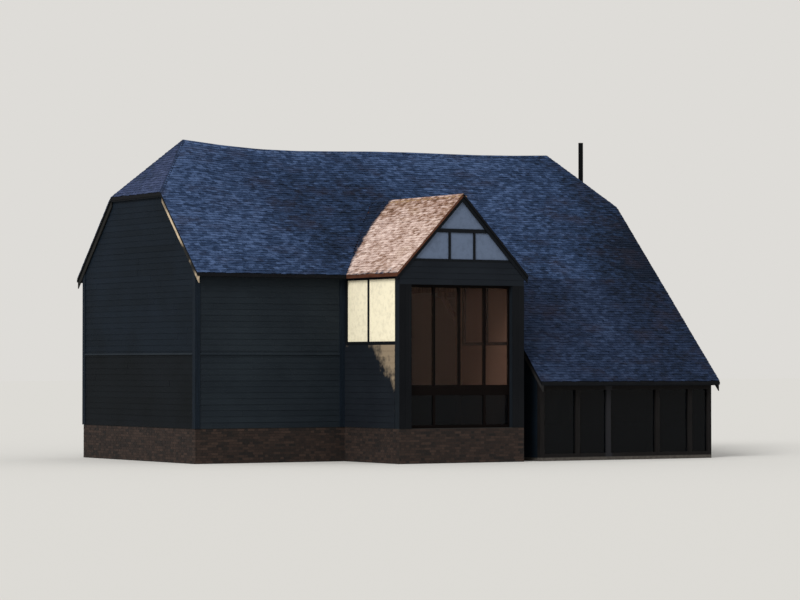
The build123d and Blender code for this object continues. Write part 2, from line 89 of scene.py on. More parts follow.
# How far a tile strays sideways, with its course and by itself up the slope, out of square and out of level
TILE_SIDEWAYS, COURSE_STRAY, TILE_STRAY, TILE_SKEW, TILE_TILT = 0.002, 0.004, 0.005, 0.0025, 0.0015
# A tile's least lift off its course and the most that is added, and the underside and top of its covered end
TILE_LIFT, MORE_LIFT, TILE_UNDER, TILE_OVER = 0.006, 0.012, 0.001, 0.005
# Length that, with a tile's thickness, sets the lowest course in, so that it stays over the slope's foot
TILE_FOOT = 0.018
# Half-round tiles: points round each, its lap on the next and its height as a share of its radius
ROUND_POINTS, ROUND_LAP, ROUND_RISE = 11, 0.02, 0.75
# How far their lower ends swell and their upper ends shrink, how far both stray, and their underside's height
ROUND_SWELL, ROUND_STRAY, ROUND_UNDER = (0.008, -0.006), 0.002, 0.003
# Radius of the ridges' half-round tiles and of the bonnets, and the fall that sets a bonnet's foot
RIDGE_RADIUS, BONNET_RADIUS, BONNET_FALL = 0.125, 0.06, 0.6
# Points along a valley
VALLEY_POINTS = 400
# How far boards, their faces and the ends of bricks stray
BOARD_STRAY, FACE_STRAY, BRICK_STRAY = 0.0015, 0.0012, 0.001
# Half the gap at a butt joint of boards and between planks, and a plank's thickness
BUTT_GAP, PLANK_GAP, PLANK = 0.001, 0.002, 0.018
# Gap between the boards and the roof over them, and half the width of the strip over the doors' joint
HEAD_GAP, COVER_STRIP = 0.01, 0.035
# How far each row of boards reads the grain from the last, along it and across it
ROW_ALONG, ROW_ACROSS = 3.7, 0.9
# Height of the drip boards and their thickness at the head and at the foot
DRIP_BOARD, DRIP_HEAD, DRIP_FOOT = 0.05, 0.022, 0.045
# Cut tiles, boards and bricks smaller than this, across and up, are left out
LEAST_TILE, LEAST_BOARD, LEAST_BRICK = (0.015, 0.01), (0.02, 0.01), 0.03
# Shapes of the spread of the tiles' tones and of the bricks', and range of the half-round tiles' tones
TILE_TONES, BRICK_TONES, ROUND_TONES = (1.4, 1.4), (2, 2), (0.2, 0.8)

# Noise spots a metre that draw frost out along the courses, of slopes that run along the barn and across it
ALONG_BARN, ACROSS_BARN = (4.0, 13, 13), (13, 4.0, 13)
# Axis, range and values of thinner frost and painted shade on the main slopes, catslide, porch's sunny side
# and ridge
FROST = [(0, ROOF_LEFT, PORCH_LEFT + 0.5, 0.64, 0.36), (0, PORCH_MIDDLE, PORCH_MIDDLE + 3, 0.5, 0.6),
         (0, ROOF_RIGHT - 3.5, ROOF_RIGHT + 0.3, 0.5, 0.0), (2, RIDGE - 2.2, RIDGE, 0.5, 0.7)]
LEE_FROST = [(0, ROOF_RIGHT - 4.5, ROOF_RIGHT, 0.5, 0.32)]
SUNNY_FROST = [(2, PORCH_RIDGE - 1.2, PORCH_RIDGE, 0.5, 0.35)]
RIDGE_FROST = [(0, RIDGE_LEFT, RIDGE_RIGHT - 3, 0.85, 0.0)]
# Edge of the barn roof's painted shadow on the porch's left slope: shares of the way up its slope, and from
# the barn's eave to its ridge
SHADE_EDGE = [(0, 0.0), (0.35, 0.16), (0.65, 0.25), (1, 0.29)]
# Paleness of the left gable's verge, weathering with painted sunlight: shares of the way up it, and how pale
# it is there
WORN_AND_SUNLIT_VERGE = [(0, 0.4), (0.1, 0.3), (0.17, 0.0), (0.38, 0.0), (0.5, 0.5), (0.75, 0.5), (0.88, 0.2), (1, 0.15)]
# What is left of a board's red, green and blue where it is darkened, and the cover of the painted-shade film
# on panes below the transom
DARKENED_SHARE, THICK_FILM = (0.74, 0.6, 0.5, 1), 0.8


def linear(code):
    """Linear colour of an sRGB hex value."""
    channels = np.array([int(code[place:place + 2], 16) for place in (1, 3, 5)]) / 255
    curve = ((channels + 0.055) / 1.055) ** 2.4
    return tuple(np.where(channels <= 0.04045, channels / 12.92, curve).tolist())


def colour(name, description, code):
    """A colour that a user may change, given as sRGB hex."""
    return bpy.props.FloatVectorProperty(name=name, description=description, subtype="COLOR", size=3,
                                         min=0, max=1, default=linear(code))


def size(name, description, metres):
    """A length that a user may change, in metres."""
    return bpy.props.FloatProperty(name=name, description=description, default=metres, unit="LENGTH",
                                   subtype="DISTANCE")


class BarnRoofSettings(bpy.types.PropertyGroup):
    """Sizes and colours of the tiled roofs"""
    tile_width: size("Tile width", "Width of a peg tile with its joint", 0.165)
    tile_gauge: size("Gauge", "Length of each tile that shows, up the slope", 0.1)
    tile_tail: size("Tail", "Length of each tile modelled under the next course", 0.04)
    tile_thickness: size("Tile thickness", "Thickness of a tile at its lower edge", 0.013)
    tile_joint: size("Tile joint", "Half the gap between neighbouring tiles", 0.0015)
    tile_unevenness: size("Unevenness", "How far an old tile may lie out of true", 0.005)
    long_sag: size("Long sag", "Depth of the ridge's one long hollow", 0.16)
    left_sag: size("Left sag", "How much deeper the hollow is to the left", 0.055)
    short_sag: size("Short sag", "Depth of the shortest waves of the ridge", 0.045)
    sag_bays: bpy.props.IntProperty(name="Sag bays", description="Straight lengths that the ridge is made of",
                                    default=10, min=1)
    ridge_tile_length: size("Ridge tile length", "Length of one half-round ridge tile", 0.3)
    bonnet_gauge: size("Bonnet gauge", "Distance between bonnet tiles down a hip", 0.11)
    # The blues of the main slopes, the catslide and the half-hips are frosted tiles in painted shade, deepest
    # on the catslide
    shade: colour("Tile shade", "Bare tiles of the main roof", "#1b273b")
    body: colour("Tile body", "Thinly frosted tiles of the main roof", "#293a57")
    light: colour("Tile light", "Well frosted tiles of the main roof", "#4b5f83")
    stain: colour("Tile stain", "Brown clay where the frost has gone", "#2c2730")
    lee_shade: colour("Catslide shade", "Bare tiles of the catslide", "#141d2d")
    lee_body: colour("Catslide tiles", "Usual tiles of the catslide", "#1e2a41")
    lee_light: colour("Pale catslide tiles", "Frosted tiles of the catslide", "#33415c")
    hip_shade: colour("Half-hip shade", "Bare tiles of the half-hips", "#2e3950")
    hip_body: colour("Half-hip tiles", "Usual tiles of the half-hips", "#36405e")
    hip_light: colour("Pale half-hip tiles", "Frosted tiles of the half-hips", "#4e5a79")
    # The porch's left slope and its ridge are the same clay tiles in painted sunlight
    sunny_body: colour("Porch tiles", "Usual tiles of the porch's left slope", "#c6ada2")
    sunny_light: colour("Pale porch tiles", "Palest tiles of the porch's left slope", "#efdace")
    sunny_shade: colour("Dark porch tiles", "Darkest tiles of the porch's left slope", "#84624f")
    porch_ridge: colour("Porch ridge", "Ridge tiles of the porch", "#9c7e5c")
    ridge: colour("Ridge tiles", "Ridge tiles of the barn", "#414d64")
    bonnet: colour("Bonnets", "Bonnet tiles of the hips", "#222e44")
    # Painted sunlight on the clay and battens at the porch's left eave, which are browner than the dark
    # underlay
    sunny_edge: colour("Porch eave", "Clay and battens at the eave of the porch's left slope", "#5a3728")
    underlay: colour("Underlay", "Battens and felt seen at the eaves", "#0e1014")


class BarnWallSettings(bpy.types.PropertyGroup):
    """Sizes and colours of the boarded walls and the brickwork"""
    exposure: size("Exposure", "Height of each weatherboard that shows", 0.17)
    lap: size("Lap", "Height of each weatherboard behind the next", 0.025)
    drip_height: size("Drip board", "Height of the drip board along the front", 3.1)
    lower_edge: size("Lower edge", "Thickness of a weatherboard at its lower edge", 0.018)
    upper_edge: size("Upper edge", "Thickness of a weatherboard at its upper edge", 0.006)
    board_length: size("Board length", "Length of a weatherboard between its butt joints", 4.2)
    plank_width: size("Plank width", "Width of the doors' upright planks", 0.16)
    brick_length: size("Brick length", "Length of a stretcher", 0.215)
    brick_height: size("Brick height", "Height of a brick", 0.065)
    brick_joint: size("Mortar joint", "Thickness of the mortar between bricks", 0.01)
    brick_proud: size("Brick face", "How far the bricks stand out of the mortar", 0.006)
    boards: colour("Boards", "Black stained weatherboards", "#191f25")
    boards_worn: colour("Worn boards", "Worn streaks on the weatherboards", "#22292f")
    # Painted shade: the gables' boards, and those of the outshot and the corner boards, are darker than the
    # front's
    gable_boards: colour("Gable boards", "Weatherboards of the two gables", "#0b131a")
    gable_worn: colour("Worn gable boards", "Worn streaks on the gables' weatherboards", "#131c26")
    # Painted shade: the porch's boards, and its post planks most, are darker than the front's
    porch_boards: colour("Porch boards", "Weatherboards of the porch", "#14181e")
    porch_worn: colour("Worn porch boards", "Worn streaks on the porch's weatherboards", "#1b2026")
    posts: colour("Post planks", "Planks over the porch's corner posts", "#090b0f")
    posts_worn: colour("Worn post planks", "Worn streaks on the porch's post planks", "#111316")
    # Painted sunlight on the boards of the porch's left side
    sunlit_patch: colour("Sunlit boards", "Boards of the porch's left side under its panels", "#97866f")
    lining: colour("Lining", "Boards inside the porch", "#8f6a57")
    # Painted light: the lining inside the main walls and under the roofs is near white
    lining_with_painted_light: colour("Pale lining", "Boards and studs inside the main walls", "#fff0e0")
    # Painted shade: bricks and mortar are darkened
    brick: colour("Brick", "Usual brick of the plinth", "#2b211d")
    brick_dark: colour("Dark brick", "Burnt brick of the plinth", "#1c1817")
    brick_light: colour("Pale brick", "Palest brick of the plinth", "#392c26")
    mortar: colour("Mortar", "Weathered lime mortar", "#2c2a27")
    sunny_render: colour("Side panels", "Cream limewash of the porch's side panels", "#fff5d6")
    # Painted shade: the gable panels are the side panels' cream limewash, grey in shade
    gable_render: colour("Gable panels", "Grey limewash of the porch's gable panels", "#5d6a80")


class BarnTimberSettings(bpy.types.PropertyGroup):
    """Colours of the timber, glass, metal and floors"""
    stained: colour("Stained timber", "Dark stained timbers of the porch", "#0f1318")
    joinery: colour("Joinery", "Dark red-brown screen in the porch", "#0d0807")
    # Painted shade: a near-black film over the lower panes of the porch and the panes of the outshot
    glass: colour("Glass", "Shade that the glass gives to what lies behind it", "#05070a")
    # Dust with a painted reflection and painted light from the room behind
    film: colour("Film", "Brown film on the porch's upper panes", "#4a3a33")
    # Painted light: the oak inside is paler than weathered oak
    oak: colour("Oak", "Weathered oak inside", "#b08a6e")
    oak_dark: colour("Dark oak", "Checks and old stains in the oak", "#5a4536")
    outside_oak: colour("Outside oak", "Dark weathered posts of the outshot", "#191717")
    # One post of the outshot is paler than the others
    pale_post_oak: colour("Pale post oak", "The outshot's one lighter post", "#242427")
    # The left verge's pale colour is weathering with painted sunlight
    verge: colour("Verge boards", "Weathered pale boards of the left gable", "#cdb99c")
    verge_grey: colour("Grey verge boards", "Weathered grey boards of the right gable", "#2e2d2d")
    verge_dark: colour("Dark verge boards", "Shaded rear boards of the left gable", "#20201f")
    metal: colour("Flue", "Matt black flue pipe", "#0a0b0c")
    # Painted light: the paving inside is pale
    flags: colour("Floor", "Worn paving inside", "#d6cbbf")


class BarnStageSettings(bpy.types.PropertyGroup):
    """Camera, light and floor"""
    place: bpy.props.FloatVectorProperty(name="Camera", description="Where the camera stands",
                                         subtype="TRANSLATION", unit="LENGTH",
                                         default=(-47.545, -77.71, 2.819))
    aim: bpy.props.FloatVectorProperty(name="Aim", description="Point in the middle of the picture",
                                       subtype="TRANSLATION", unit="LENGTH", default=(-0.44, -0.9, 4.756))
    lens: bpy.props.FloatProperty(name="Lens", description="Focal length in millimetres", default=135.15,
                                  unit="CAMERA")
    key: bpy.props.FloatProperty(name="Key light", description="Strength of the soft key light", default=1.95)
    fill: bpy.props.FloatProperty(name="Fill light", description="Strength of the even fill", default=0.68)
    ground: colour("Ground", "Plain pale floor", "#d9d7d2")
    backdrop: colour("Backdrop", "Plain pale background", "#dedcd8")


def shaded(shade, share):
    """A colour made darker or paler by a factor."""
    return tuple(channel * share for channel in shade)


def solid(shade):
    """A colour with its alpha."""
    return (*shade, 1)


def add_node(tree, kind, sockets=(), stops=(), **settings):
    """Adds one node with its settings, a value or a link for each socket, in order or by name, and a ramp's
    stops. A node given as a value is linked by its first output in use."""
    node = tree.nodes.new("ShaderNode" + kind)
    for name, value in settings.items():
        setattr(node, name, value)
    for name, value in sockets.items() if isinstance(sockets, dict) else enumerate(sockets):
        if isinstance(value, bpy.types.Node):
            value = next(output for output in value.outputs if output.enabled)
        if isinstance(value, bpy.types.NodeSocket):
            tree.links.new(value, node.inputs[name])
        else:
            node.inputs[name].default_value = value
    elements = node.color_ramp.elements if stops else []
    for number, (place, shade) in enumerate(stops):
        stop = elements[number] if number < len(elements) else elements.new(place)
        stop.position = place
        stop.color = solid(shade)
    return node


def new_material(name):
    """An empty material, its node tree and the object coordinates."""
    material = bpy.data.materials.new(name)
    material.use_nodes = True
    tree = material.node_tree
    tree.nodes.clear()
    return material, tree, add_node(tree, "TexCoord").outputs["Object"]


def finished(material, shade, roughness, specular, height=None, depth=0.0, cover=1.0):
    """Gives a material its colour, gloss and cover. A height between 0 and 1 raises it by a real depth."""
    tree = material.node_tree
    sockets = {"Base Color": shade, "Roughness": roughness, "Specular IOR Level": specular, "Alpha": cover}
    if height:
        sockets["Normal"] = add_node(tree, "Bump", {"Height": height, "Distance": depth, "Strength": 1.0})
    add_node(tree, "OutputMaterial", [add_node(tree, "BsdfPrincipled", sockets)])
    return material


def weighted(tree, *parts):
    """A value round a half: the sum of each part's distance from a half, times its weight."""
    total = 0.5 - 0.5 * sum(weight for _, weight in parts)
    for part, weight in parts:
        total = add_node(tree, "Math", [part, weight, total], operation="MULTIPLY_ADD")
    return total


def within(tree, place, *ranges):
    """One where a place lies within a reach of a centre along each axis given, and zero elsewhere."""
    share = 1.0
    for axis, centre, reach in ranges:
        spot = add_node(tree, "SeparateXYZ", [place]).outputs[axis]
        near = add_node(tree, "Math", [spot, centre, reach], operation="COMPARE")
        share = add_node(tree, "Math", [near, share], operation="MULTIPLY")
    return share


def underside(tree, share):
    """A share that holds only on faces that look down."""
    level = add_node(tree, "SeparateXYZ", [add_node(tree, "TexCoord").outputs["Normal"]]).outputs[2]
    below = add_node(tree, "Math", [level, -0.3], operation="LESS_THAN")
    return add_node(tree, "Math", [share, below], operation="MULTIPLY")


def frosted_clay(tree, place, grit, palette, courses, streak=0.5, thaw=()):
    """Colour of peg tiles under frost: pale dashes along the courses, brown patches, each tile its tone."""
    shade, body, light, stain = palette
    tone = add_node(tree, "Attribute", attribute_name="tone").outputs["Fac"]
    # Frost lies in dashes about a quarter of a metre long and a course high, in drifts of three metres
    dash_place = add_node(tree, "Mapping", {0: place, 3: courses})
    dash = add_node(tree, "TexNoise", {"Vector": dash_place, "Scale": 1, "Detail": 3, "Roughness": 0.65})
    drift = add_node(tree, "TexNoise", {"Vector": place, "Scale": 0.35, "Detail": 2})
    parts = [(dash, 1.3), (grit, 0.5), (drift, 0.75), (tone, 0.4)]
    # Frost thins and painted shade deepens towards the ends of some slopes, and both change under their
    # ridges
    spot = add_node(tree, "SeparateXYZ", [place])
    for axis, *values in thaw:
        thinning = add_node(tree, "MapRange", [spot.outputs[axis], *values], interpolation_type="SMOOTHSTEP")
        parts.append((thinning, 1.0))
    clay = add_node(tree, "ValToRGB", [weighted(tree, *parts)],
                    [(0.0, shaded(shade, 0.5)), (0.16, shade), (0.5, body), (0.9, light)])
    # Brown clay shows in patches a metre or two across, longer along the courses
    patch_place = add_node(tree, "Mapping", {0: place, 3: (0.8, 0.8, 1.8)})
    patch = add_node(tree, "TexNoise", {"Vector": patch_place, "Scale": 1, "Detail": 6, "Roughness": 0.7})
    share = add_node(tree, "MapRange", [patch, 0.5, 0.72, 0, streak])
    return add_node(tree, "Mix", {0: share, 6: clay, 7: solid(stain)}, data_type="RGBA")


def frost_in_painted_shadow(tree, place):
    """Share of painted shadow on the porch's sunny side, where the barn's roof shades it and frost is kept: a
    strip beside the valley that starts from nothing at the eave and widens up to the ridge, with a ragged
    edge."""
    spot = add_node(tree, "SeparateXYZ", [place])
    up = add_node(tree, "MapRange", [spot.outputs[0], PORCH_LEFT, PORCH_MIDDLE])
    edge = add_node(tree, "ValToRGB", [up], [(at, (share,) * 3) for at, share in SHADE_EDGE])
    deep = add_node(tree, "MapRange", [spot.outputs[1], EAVE_LINE, MIDDLE])
    ragged = add_node(tree, "TexNoise", {"Vector": place, "Scale": 6, "Detail": 4})
    deep = add_node(tree, "Math", [ragged, 0.12, deep], operation="MULTIPLY_ADD")
    over = add_node(tree, "Math", [deep, edge], operation="SUBTRACT")
    return add_node(tree, "MapRange", [over, 0.04, 0.08])


def peg_tiles(name, palette, courses, streak=0.5, thaw=(), frosted=None):
    """Hand-made clay peg tiles: matt, gritty and frosted, with a second palette for frost in a painted
    shadow.
    """
    material, tree, place = new_material(name)
    # Grit and lichen in spots of about 40 mm
    grit = add_node(tree, "TexNoise", {"Vector": place, "Scale": 24, "Detail": 3, "Roughness": 0.7})
    clay = frosted_clay(tree, place, grit, palette, courses, streak, thaw)
    # A painted shadow of the barn's roof, where frost is kept
    if frosted:
        shadow_clay = frosted_clay(tree, place, grit, frosted, courses)
        clay = add_node(tree, "Mix", {0: frost_in_painted_shadow(tree, place), 6: clay, 7: shadow_clay}, data_type="RGBA")
    return finished(material, clay, roughness=0.82, specular=0.08, height=grit, depth=0.003)


def sun_reach(tree, place):
    """Share of painted sunlight on the porch's left side: a ragged triangle under the panels, at the front.
    """
    (_, corner, _), (_, _, sill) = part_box("porch_side_boarding")
    spot, reach = add_node(tree, "SeparateXYZ", [place]), 1.5
    back = add_node(tree, "MapRange", [spot.outputs[1], corner, corner + reach])
    down = add_node(tree, "MapRange", [spot.outputs[2], sill, sill - reach])
    # Ragged patches about 200 mm across
    ragged = add_node(tree, "TexNoise", {"Vector": place, "Scale": 5, "Detail": 2})
    far = add_node(tree, "Math", [back, down], operation="ADD")
    far = add_node(tree, "Math", [ragged, 0.8, far], operation="MULTIPLY_ADD")
    return add_node(tree, "MapRange", [far, 0.9, 1.3, 0.9, 0])


def stained_boards(name, dark, worn, sunlit_patch=None, darkened=None):
    """Sawn softwood under black stain: streaks along each board, drier and greyer where the weather reaches,
    painted sunlight under the porch's panels, and browner and darker within the ranges given."""
    material, tree, place = new_material(name)
    along = add_node(tree, "UVMap", uv_map="board")
    tone = add_node(tree, "Attribute", attribute_name="tone").outputs["Fac"]
    # Grain lines 6 mm apart and half a metre long
    grain_place = add_node(tree, "Mapping", {0: along, 3: (2.0, 90, 1)})
    grain = add_node(tree, "TexNoise", {"Vector": grain_place, "Scale": 1, "Detail": 5})
    # Weathering in drifts a metre or two across
    drift = add_node(tree, "TexNoise", {"Vector": place, "Scale": 0.7, "Detail": 3})
    value = weighted(tree, (grain, 0.9), (drift, 0.9), (tone, 0.16))
    shade = add_node(tree, "ValToRGB", [value], [(0.25, dark), (0.8, worn)])
    # A patch of painted sunlight
    if sunlit_patch:
        share = sun_reach(tree, place)
        shade = add_node(tree, "Mix", {0: share, 6: shade, 7: solid(sunlit_patch)}, data_type="RGBA")
    # Darker and browner within the ranges given
    if darkened:
        shade = add_node(tree, "Mix", {0: within(tree, place, *darkened), 6: shade, 7: DARKENED_SHARE}, data_type="RGBA",
                         blend_type="MULTIPLY")
    return finished(material, shade, roughness=0.75, specular=0.08, height=grain, depth=0.0015)


def sawn_timber(name, body, stretch, dark=None, roughness=0.75, specular=0.1, lining=None, inside=None,
                ceiling=False):
    """Solid timber: grain drawn out along its length by so many spots a metre on each axis, with dark shakes,
    a dry surface and another shade inside."""
    material, tree, place = new_material(name)
    # Grain lines about 8 mm apart, drawn out along the timber
    grain_place = add_node(tree, "Mapping", {0: place, 3: stretch})
    grain = add_node(tree, "TexNoise", {"Vector": grain_place, "Scale": 1, "Detail": 6, "Roughness": 0.65})
    shade = add_node(tree, "ValToRGB", [grain], [(0.3, dark or shaded(body, 0.5)), (0.62, body)])
    if inside:
        share = within(tree, place, *inside)
        share = underside(tree, share) if ceiling else share
        shade = add_node(tree, "Mix", {0: share, 6: shade, 7: solid(lining)}, data_type="RGBA")
    return finished(material, shade, roughness, specular, height=grain, depth=0.002)


def verge_boards(name, pale, dark):
    """Verge boards of the left gable, flaking: pale in front, most in the middle, from weathering with
    painted sunlight, and dark behind as painted shade.
    """
    material, tree, place = new_material(name)
    spot = add_node(tree, "SeparateXYZ", [place])
    front = add_node(tree, "MapRange", [spot.outputs[1], MIDDLE - 0.1, MIDDLE + 0.1, 1, 0])
    rise = add_node(tree, "MapRange", [spot.outputs[2], EAVE - 0.3, HIP_EAVE])
    worn = add_node(tree, "ValToRGB", [rise], [(at, (share,) * 3) for at, share in WORN_AND_SUNLIT_VERGE])
    # Flaking in patches about 200 mm long
    flake = add_node(tree, "TexNoise", {"Vector": place, "Scale": 5, "Detail": 5, "Roughness": 0.7})
    share = add_node(tree, "Math", [flake, worn], operation="ADD")
    share = add_node(tree, "MapRange", [share, 0.55, 1.05])
    share = add_node(tree, "Math", [share, front], operation="MULTIPLY")
    shade = add_node(tree, "Mix", {0: share, 6: solid(dark), 7: solid(pale)}, data_type="RGBA")
    return finished(material, shade, roughness=0.75, specular=0.1, height=flake, depth=0.002)


def lime_render(name, body, lining=None, inside=None):
    """Limewashed render: matt and mottled, with trowel waves and thin dirt, boarded on its inner face."""
    material, tree, place = new_material(name)
    # Trowel marks about 120 mm across and grains of sand of 3 mm
    trowel = add_node(tree, "TexNoise", {"Vector": place, "Scale": 8, "Detail": 3})
    sand = add_node(tree, "TexNoise", {"Vector": place, "Scale": 300, "Detail": 2})
    shade = add_node(tree, "ValToRGB", [trowel], [(0.3, shaded(body, 0.86)), (0.55, body)])
    if inside:
        share = within(tree, place, *inside)
        shade = add_node(tree, "Mix", {0: share, 6: shade, 7: solid(lining)}, data_type="RGBA")
    height = add_node(tree, "Math", [trowel, 6.0, sand], operation="MULTIPLY_ADD")
    return finished(material, shade, roughness=0.9, specular=0.2, height=height, depth=0.001)


def clay_bricks(name, dark, body, light):
    """Hand-made stock bricks: every brick its own tone, rough faces and burnt ends."""
    material, tree, place = new_material(name)
    tone = add_node(tree, "Attribute", attribute_name="tone").outputs["Fac"]
    # Fire marks of about 30 mm on the face of each brick
    mark = add_node(tree, "TexNoise", {"Vector": place, "Scale": 32, "Detail": 4})
    spread = add_node(tree, "Math", [mark, 0.5], operation="SUBTRACT")
    value = add_node(tree, "Math", [spread, 0.6, tone], operation="MULTIPLY_ADD")
    shade = add_node(tree, "ValToRGB", [value], [(0.1, dark), (0.5, body), (0.9, light)])
    return finished(material, shade, roughness=0.88, specular=0.25, height=mark, depth=0.003)


def rough_stone(name, body, spots):
    """Mortar or paving: matt and grainy, one colour broken by darker spots, so many a metre."""
    material, tree, place = new_material(name)
    grain = add_node(tree, "TexNoise", {"Vector": place, "Scale": spots, "Detail": 6})
    shade = add_node(tree, "ValToRGB", [grain], [(0.3, shaded(body, 0.55)), (0.65, body)])
    return finished(material, shade, roughness=0.9, specular=0.25, height=grain, depth=0.002)


def window_glass(name, film, cover, low=None, dark=None):
    """Thin window glass: a share of film over what lies behind it, smooth and slightly wavy, with a thicker
    film of another shade below a height where one is given. The films are painted reflection, light and
    shade."""
    material, tree, place = new_material(name)
    film = solid(film)
    if low:
        height = add_node(tree, "SeparateXYZ", [place]).outputs[2]
        below = add_node(tree, "Math", [height, low], operation="LESS_THAN")
        film = add_node(tree, "Mix", {0: below, 6: film, 7: solid(dark)}, data_type="RGBA")
        cover = add_node(tree, "MapRange", [height, low, low + 0.02, THICK_FILM, cover])
    # Waves of about 400 mm, as large panes have
    wave = add_node(tree, "TexNoise", {"Vector": place, "Scale": 2.5, "Detail": 0})
    return finished(material, film, roughness=0.03, specular=0.1, height=wave, depth=0.0004, cover=cover)


def painted_steel(name, body):
    """Matt black stove paint on a steel pipe, with a bloom of dust."""
    material, tree, place = new_material(name)
    dust = add_node(tree, "TexNoise", {"Vector": place, "Scale": 30, "Detail": 4})
    shade = add_node(tree, "ValToRGB", [dust], [(0.4, body), (0.8, shaded(body, 1.6))])
    return finished(material, shade, roughness=0.8, specular=0.05)


def add_piece(name, material, points, faces, tone, along=None, smooth=False):
    """Makes one piece of the barn from arrays of points and faces, with a tone and board UVs by point."""
    mesh = bpy.data.meshes.new(name)
    mesh.vertices.add(len(points))
    # No tile or board stands out of the frame's own box
    mesh.vertices.foreach_set("co", np.clip(points, *BOX).ravel().astype(np.float32))
    corners = np.concatenate([group.ravel() for group in faces]).astype(np.int32)
    counts = np.concatenate([np.full(len(group), group.shape[1]) for group in faces])
    starts = np.concatenate([[0], np.cumsum(counts)[:-1]]).astype(np.int32)
    mesh.loops.add(len(corners))
    mesh.loops.foreach_set("vertex_index", corners)
    mesh.polygons.add(len(counts))
    mesh.polygons.foreach_set("loop_start", starts)
    mesh.polygons.foreach_set("use_smooth", np.full(len(counts), smooth) & (counts == 4))
    mesh.update(calc_edges=True)
    mesh.attributes.new("tone", "FLOAT", "POINT").data.foreach_set("value", tone.astype(np.float32))
    if along is not None:
        mesh.uv_layers.new(name="board").data.foreach_set("uv", along[corners].ravel().astype(np.float32))
    mesh.materials.append(material)
    piece = bpy.data.objects.new(name, mesh)
    bpy.context.scene.collection.objects.link(piece)
    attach(piece, "root")
    return piece


def add_blocks(name, material, slot, corners, tone, along=None, turned=False):
    """Makes a piece of many small blocks of eight corners each, every block with its own tone."""
    faces = BLOCK_FACES[:, ::-1] if turned else BLOCK_FACES
    quads = (np.arange(len(corners))[:, None, None] * 8 + faces).reshape(-1, 4)
    flat = None if along is None else along.reshape(-1, 2)
    return add_piece(name, material, corners.reshape(-1, 3), [quads], np.repeat(tone, 8), flat)


def add_rings(name, material, rings, tone):
    """Makes a piece of many lengths of tile, each a tube through rings of points and closed at both ends."""
    lengths, along, around = rings.shape[:3]
    index = np.arange(lengths * along * around).reshape(lengths, along, around)
    after = np.roll(index, -1, axis=2)
    sides = np.stack([index[:, :-1], after[:, :-1], after[:, 1:], index[:, 1:]], axis=-1).reshape(-1, 4)
    ends = np.concatenate([index[:, 0, ::-1], index[:, -1]])
    return add_piece(name, material, rings.reshape(-1, 3), [sides, ends],
                     np.repeat(tone, along * around), smooth=True)


def add_joined(name, material, slot, parts):
    """Makes one piece of blocks from several walls' blocks."""
    return add_blocks(name, material, slot, *(np.concatenate(part) for part in zip(*parts)))


def set_finish(material, *nodes):
    """Gives pieces of the frame their finish."""
    for node in nodes:
        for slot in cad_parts[node].material_slots:
            slot.material = material


def mirrored(corners, axis, place):
    """Corners on the other side of a plane."""
    turned = corners.copy()
    turned[..., axis] = 2 * place - turned[..., axis]
    return turned


def ridge_stations(roof):
    """Ends of the ridge's straight lengths: the sag is a sum of sine waves of one, two and three halves."""
    share = np.linspace(0, 1, roof.sag_bays + 1)
    sag = (roof.long_sag * np.sin(np.pi * share) + roof.left_sag * np.sin(2 * np.pi * share)
           + roof.short_sag * np.sin(3 * np.pi * share))
    return RIDGE_LEFT + share * (RIDGE_RIGHT - RIDGE_LEFT), RIDGE - sag


def bay_of(roof, x):
    """Share of its bay left of a place, and the ridge's rise over the eaves at the bay's two ends."""
    rise = ridge_stations(roof)[1] - EAVE
    place = np.clip((x - RIDGE_LEFT) / (RIDGE_RIGHT - RIDGE_LEFT), 0, 1) * roof.sag_bays
    bay = np.clip(np.floor(place), 0, roof.sag_bays - 1).astype(int)
    return place - bay, rise[bay], rise[bay + 1]


def main_height(roof, x, y):
    """Height of the main roof at a place: a bay is two triangles, parted from left eave to right ridge."""
    up = 1 - np.abs(y - MIDDLE) / (MIDDLE - EAVE_LINE)
    share, near, far = bay_of(roof, x)
    return EAVE + np.where(up <= share, up * far, share * (far - near) + up * near)


def valley_line(roof):
    """The left valley as places along the front and their depths, where porch slope and main slope meet."""
    x = np.linspace(PORCH_LEFT, PORCH_MIDDLE, VALLEY_POINTS)
    rise = (x - PORCH_LEFT) * FALL
    share, near, far = bay_of(roof, x)
    up = np.where(rise <= share * far, rise / far, (rise - share * (far - near)) / near)
    return x, EAVE_LINE + up * (MIDDLE - EAVE_LINE)


